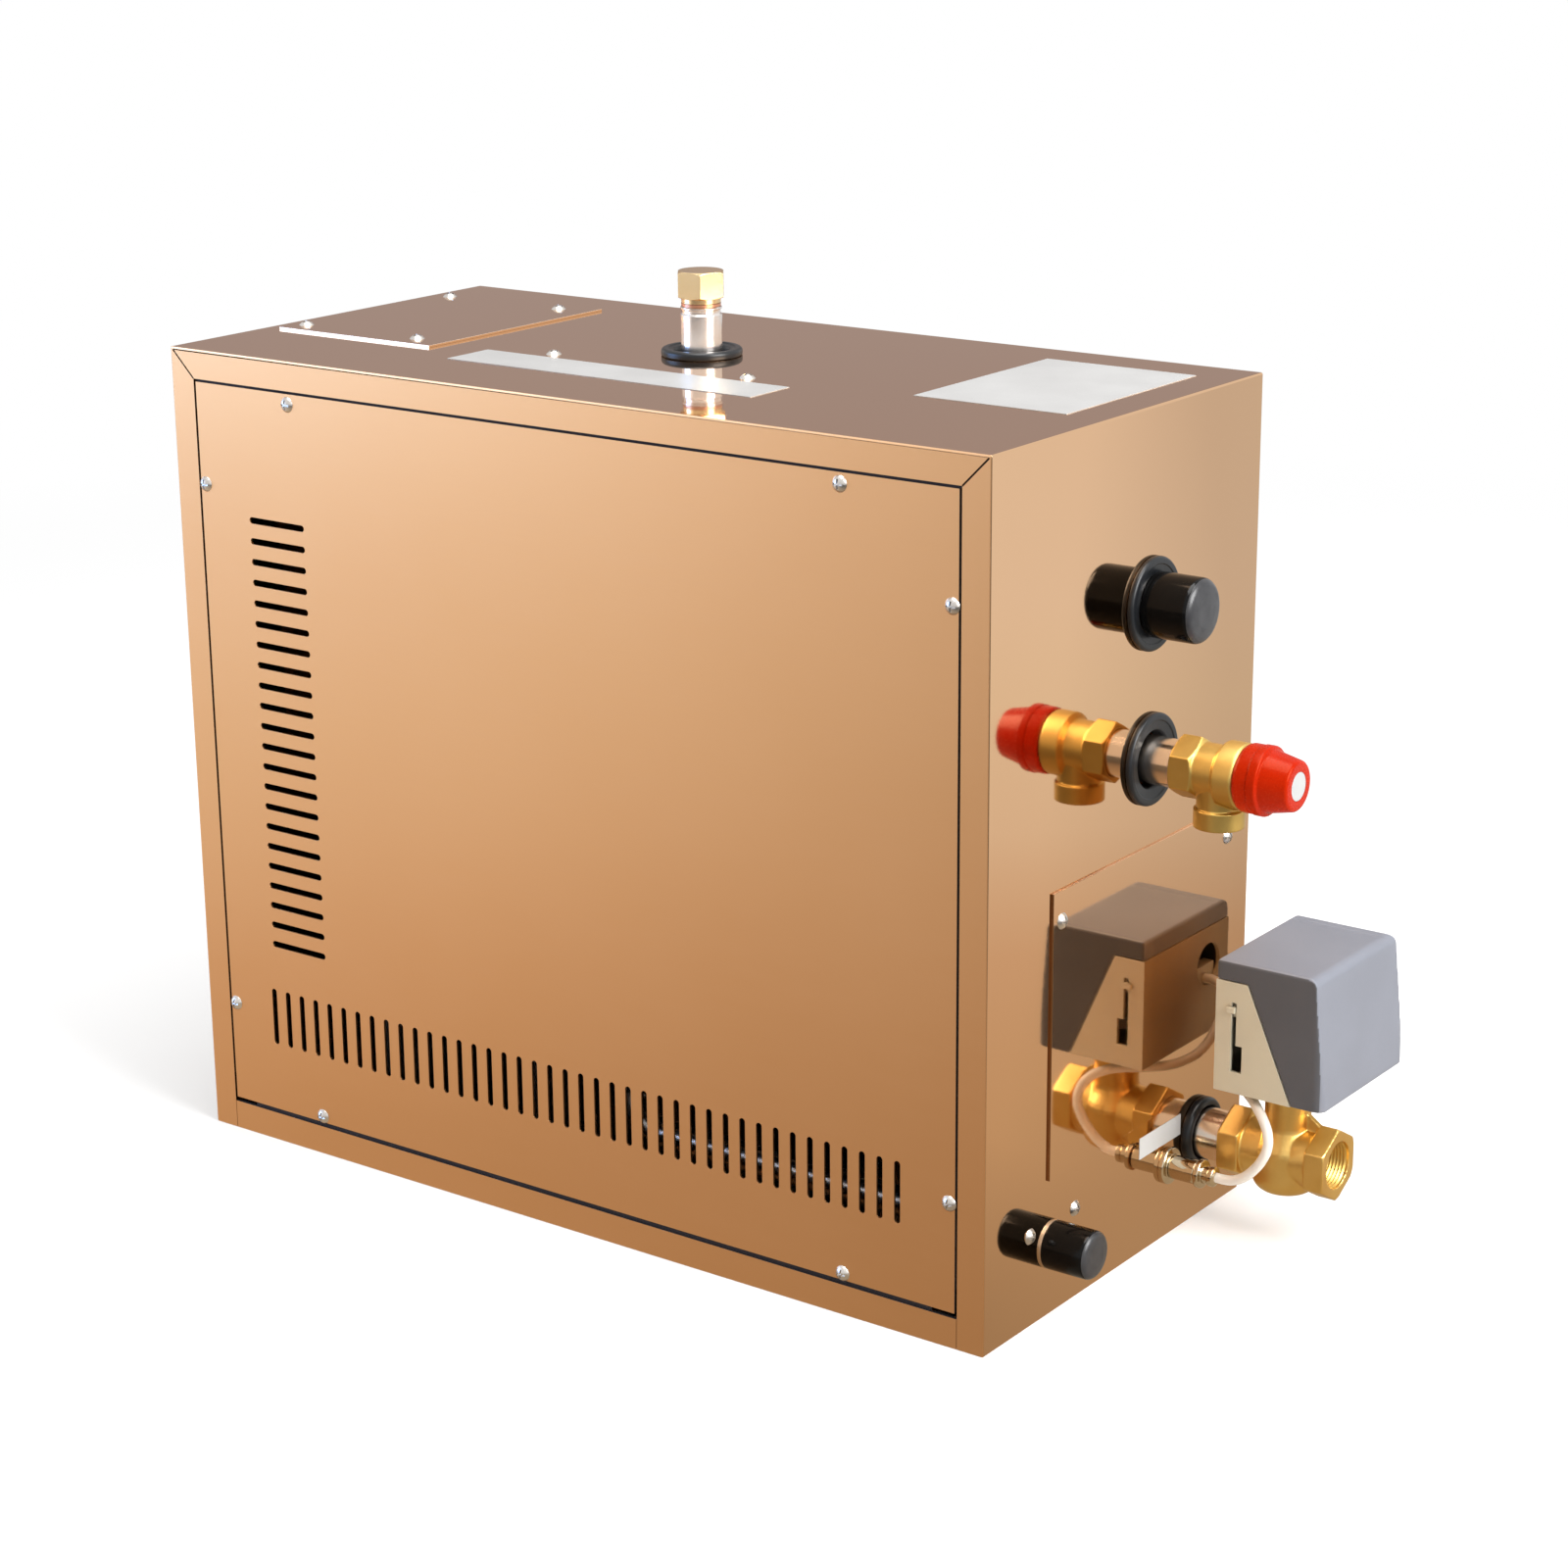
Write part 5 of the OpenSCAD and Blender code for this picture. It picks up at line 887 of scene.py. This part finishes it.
def addKnob(k, disc):
    low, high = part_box("relief_knob")
    foot, stop = (low.x - wallX) / mm, (high.x - wallX) / mm
    radius = (high.y - low.y) / 2 / mm
    collar, deep = foot + k["collarAt"], stop - k["discDepth"]
    boreEnd = foot + k["boreLength"]
    pinEnd = boreEnd + k["pinLength"]
    points = [(k["bore"], foot)]
    points += [(radius + out, foot + along, corner) for out, along, corner in k["skirt"]]
    points += [(radius + out, collar + along, corner) for out, along, corner in k["collar"]]
    points += [
        (k["cone"], collar + k["coneStart"], k["coneRound"]), (k["end"], stop, k["endRound"]),
        (k["discRadius"], stop, k["discRound"]), (k["discRadius"], deep, k["discRound"]), (0, deep),
        (0, pinEnd), (k["pin"], pinEnd), (k["pin"], boreEnd), (k["bore"], boreEnd),
    ]
    piece = turned(closed(points), reliefAt, outX, k["sides"])
    finishPiece(piece, "reliefKnob", "knob", "redPlastic", ["relief_knob"], smoothAngle=50)
    bottom, top, rim = deep + disc["lift"], stop - disc["sink"], k["discRadius"] - disc["gap"]
    points = [(0, bottom), (rim, bottom), (rim, top, disc["round"]), (0, top)]
    piece = turned(closed(points), reliefAt, outX, disc["sides"])
    finishPiece(piece, "knobDisc", "knob", "labelFilm")


addKnob(knob, knobDisc)
cast("relief_body", "forgedBrass", relief["voxel"], relief["rounds"])
softened("relief_nipple", "turnedNickel", relief["nippleEdge"])
print("relief valve done")

# drain valve and its actuator
valve = {"voxel": 0.00046, "rounds": 2, "pipeEdge": 0.0002}
actuator = {
    "baseEdge": 0.0004, "leverEdge": 0.0003, "edgeSteps": 3, "coverVoxel": 0.0007, "coverRounds": 9,
    "wallFace": 0.7, "frontFace": 0.8,      # the faces in shade, by how straight they look that way
}


def addActuator(setup):
    steps = setup["edgeSteps"]
    base = softened("actuator_base", "beigePlastic", setup["baseEdge"], steps)
    paintFaces(base, "shadedBeige", lambda normal, centre: normal.x < -setup["wallFace"])
    cover = cast("actuator_cover", "greyPlastic", setup["coverVoxel"], setup["coverRounds"])
    paintFaces(cover, "shadedGrey", lambda normal, centre: normal.y < -setup["frontFace"])
    softened("manual_lever", "beigePlastic", setup["leverEdge"], steps, body="lever")


cast("valve_body", "castBrass", valve["voxel"], valve["rounds"])
addActuator(actuator)
softened("drain_pipe", "turnedNickel", valve["pipeEdge"])

threads = {
    "bore": 12.05, "inset": 0.02, "depth": 0.75, "pitch": 1.8, "turns": 6,
    "start": 1.6, "wall": 0.5, "sides": 72,
}


def addThreads(t):
    end = (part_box("valve_body")[1].x - wallX) / mm - t["start"]
    last = end - t["turns"] * t["pitch"]
    wall, root, crest = t["bore"] + t["wall"], t["bore"] - t["inset"], t["bore"] - t["depth"]
    points = [(wall, end)]
    for i in range(t["turns"]):
        points += [(root, end - i * t["pitch"]), (crest, end - (i + 0.5) * t["pitch"])]
    points += [(root, last), (wall, last)]
    piece = turned(closed(points), drainAt, outX, t["sides"])
    finishPiece(piece, "outletThreads", "root", "forgedBrass", smoothAngle=20)


addThreads(threads)

# socket, coupling ring and plug of the lead
plug = {
    "lead_socket": {"body": "root", "points": [
        (0, -14), (6, -14, 0.4), (6, 0), (9.5, 0, 0.3), (9.5, 3, 0.9), (6.2, 3, 0.3), (6.2, 3.4, 0.2),
        (4.65, 3.4), (4.65, 9.8, 0.4), (0, 9.8)]},
    "coupling_ring": {"body": "ring", "points": [
        (4.7, 3.5), (5.7, 3.5, 0.3), (6.1, 4.2, 0.3), (6.1, 17.3, 0.4), (5.6, 18, 0.2), (4.7, 18)]},
    "lead_plug": {"body": "root", "points": [
        (0, 10.2), (4.65, 10.2, 0.3), (4.65, 18.3), (7.25, 18.3, 0.4), (7.25, 21, 0.7), (4.5, 21.2, 0.3),
        (4.5, 24.6, 0.3), (5, 25, 0.3), (5, 27.4, 0.5), (3.6, 28.2, 0.4), (0, 28.2)]},
}
plugSides = 72
for plugNode, part in plug.items():
    solid = part["points"][0][0] == 0     # its profile starts and ends on the axis
    shape = inMetres(part["points"]) if solid else closed(part["points"])
    made = turned(shape, socketAt, outX, plugSides)
    finishPiece(made, plugNode + "Piece", part["body"], "plugMetal", [plugNode])
print("drain valve done")

# pieces whose CAD shape is right: only their finish changes
carried = {
    "front_panel_screws": "screwSteel", "casing_screws": "screwSteel", "flange_bolts": "screwSteel",
    "panel_nuts": "screwSteel", "blank_labels": "labelFilm", "partition": "zincSheet",
    "tank_stand": "zincSheet", "top_bracket": "zincSheet", "actuator_motor": "zincSheet",
    "cable_grommets": "blackRubber",
    "steam_pipe": "stainless", "fill_pipe": "stainless", "tank": "stainless", "heater_flange": "stainless",
    "relief_stem": "stainless", "valve_ball": "stainless", "inlet_plunger": "stainless",
    "level_probe": "stainless", "relief_spring": "springSteel", "heating_elements": "heaterSheath",
    "relief_bonnet": "forgedBrass", "valve_stem": "paleBrass", "motor_pinion": "paleBrass",
    "plug_washer": "copper", "reset_button": "redPlastic", "ball_seats": "whitePlastic",
    "drive_sector": "whitePlastic", "inlet_valve": "whitePlastic", "limit_thermostat": "whitePlastic",
    "terminal_block": "whitePlastic", "lead_clamp": "beigePlastic", "contactors": "darkPlastic",
    "inlet_coil": "coilPlastic", "control_board": "boardGreen",
}
for node, finish in carried.items():
    nodes[node].data.materials.clear()
    nodes[node].data.materials.append(materials[finish])
print("carried nodes finished:", len(carried))
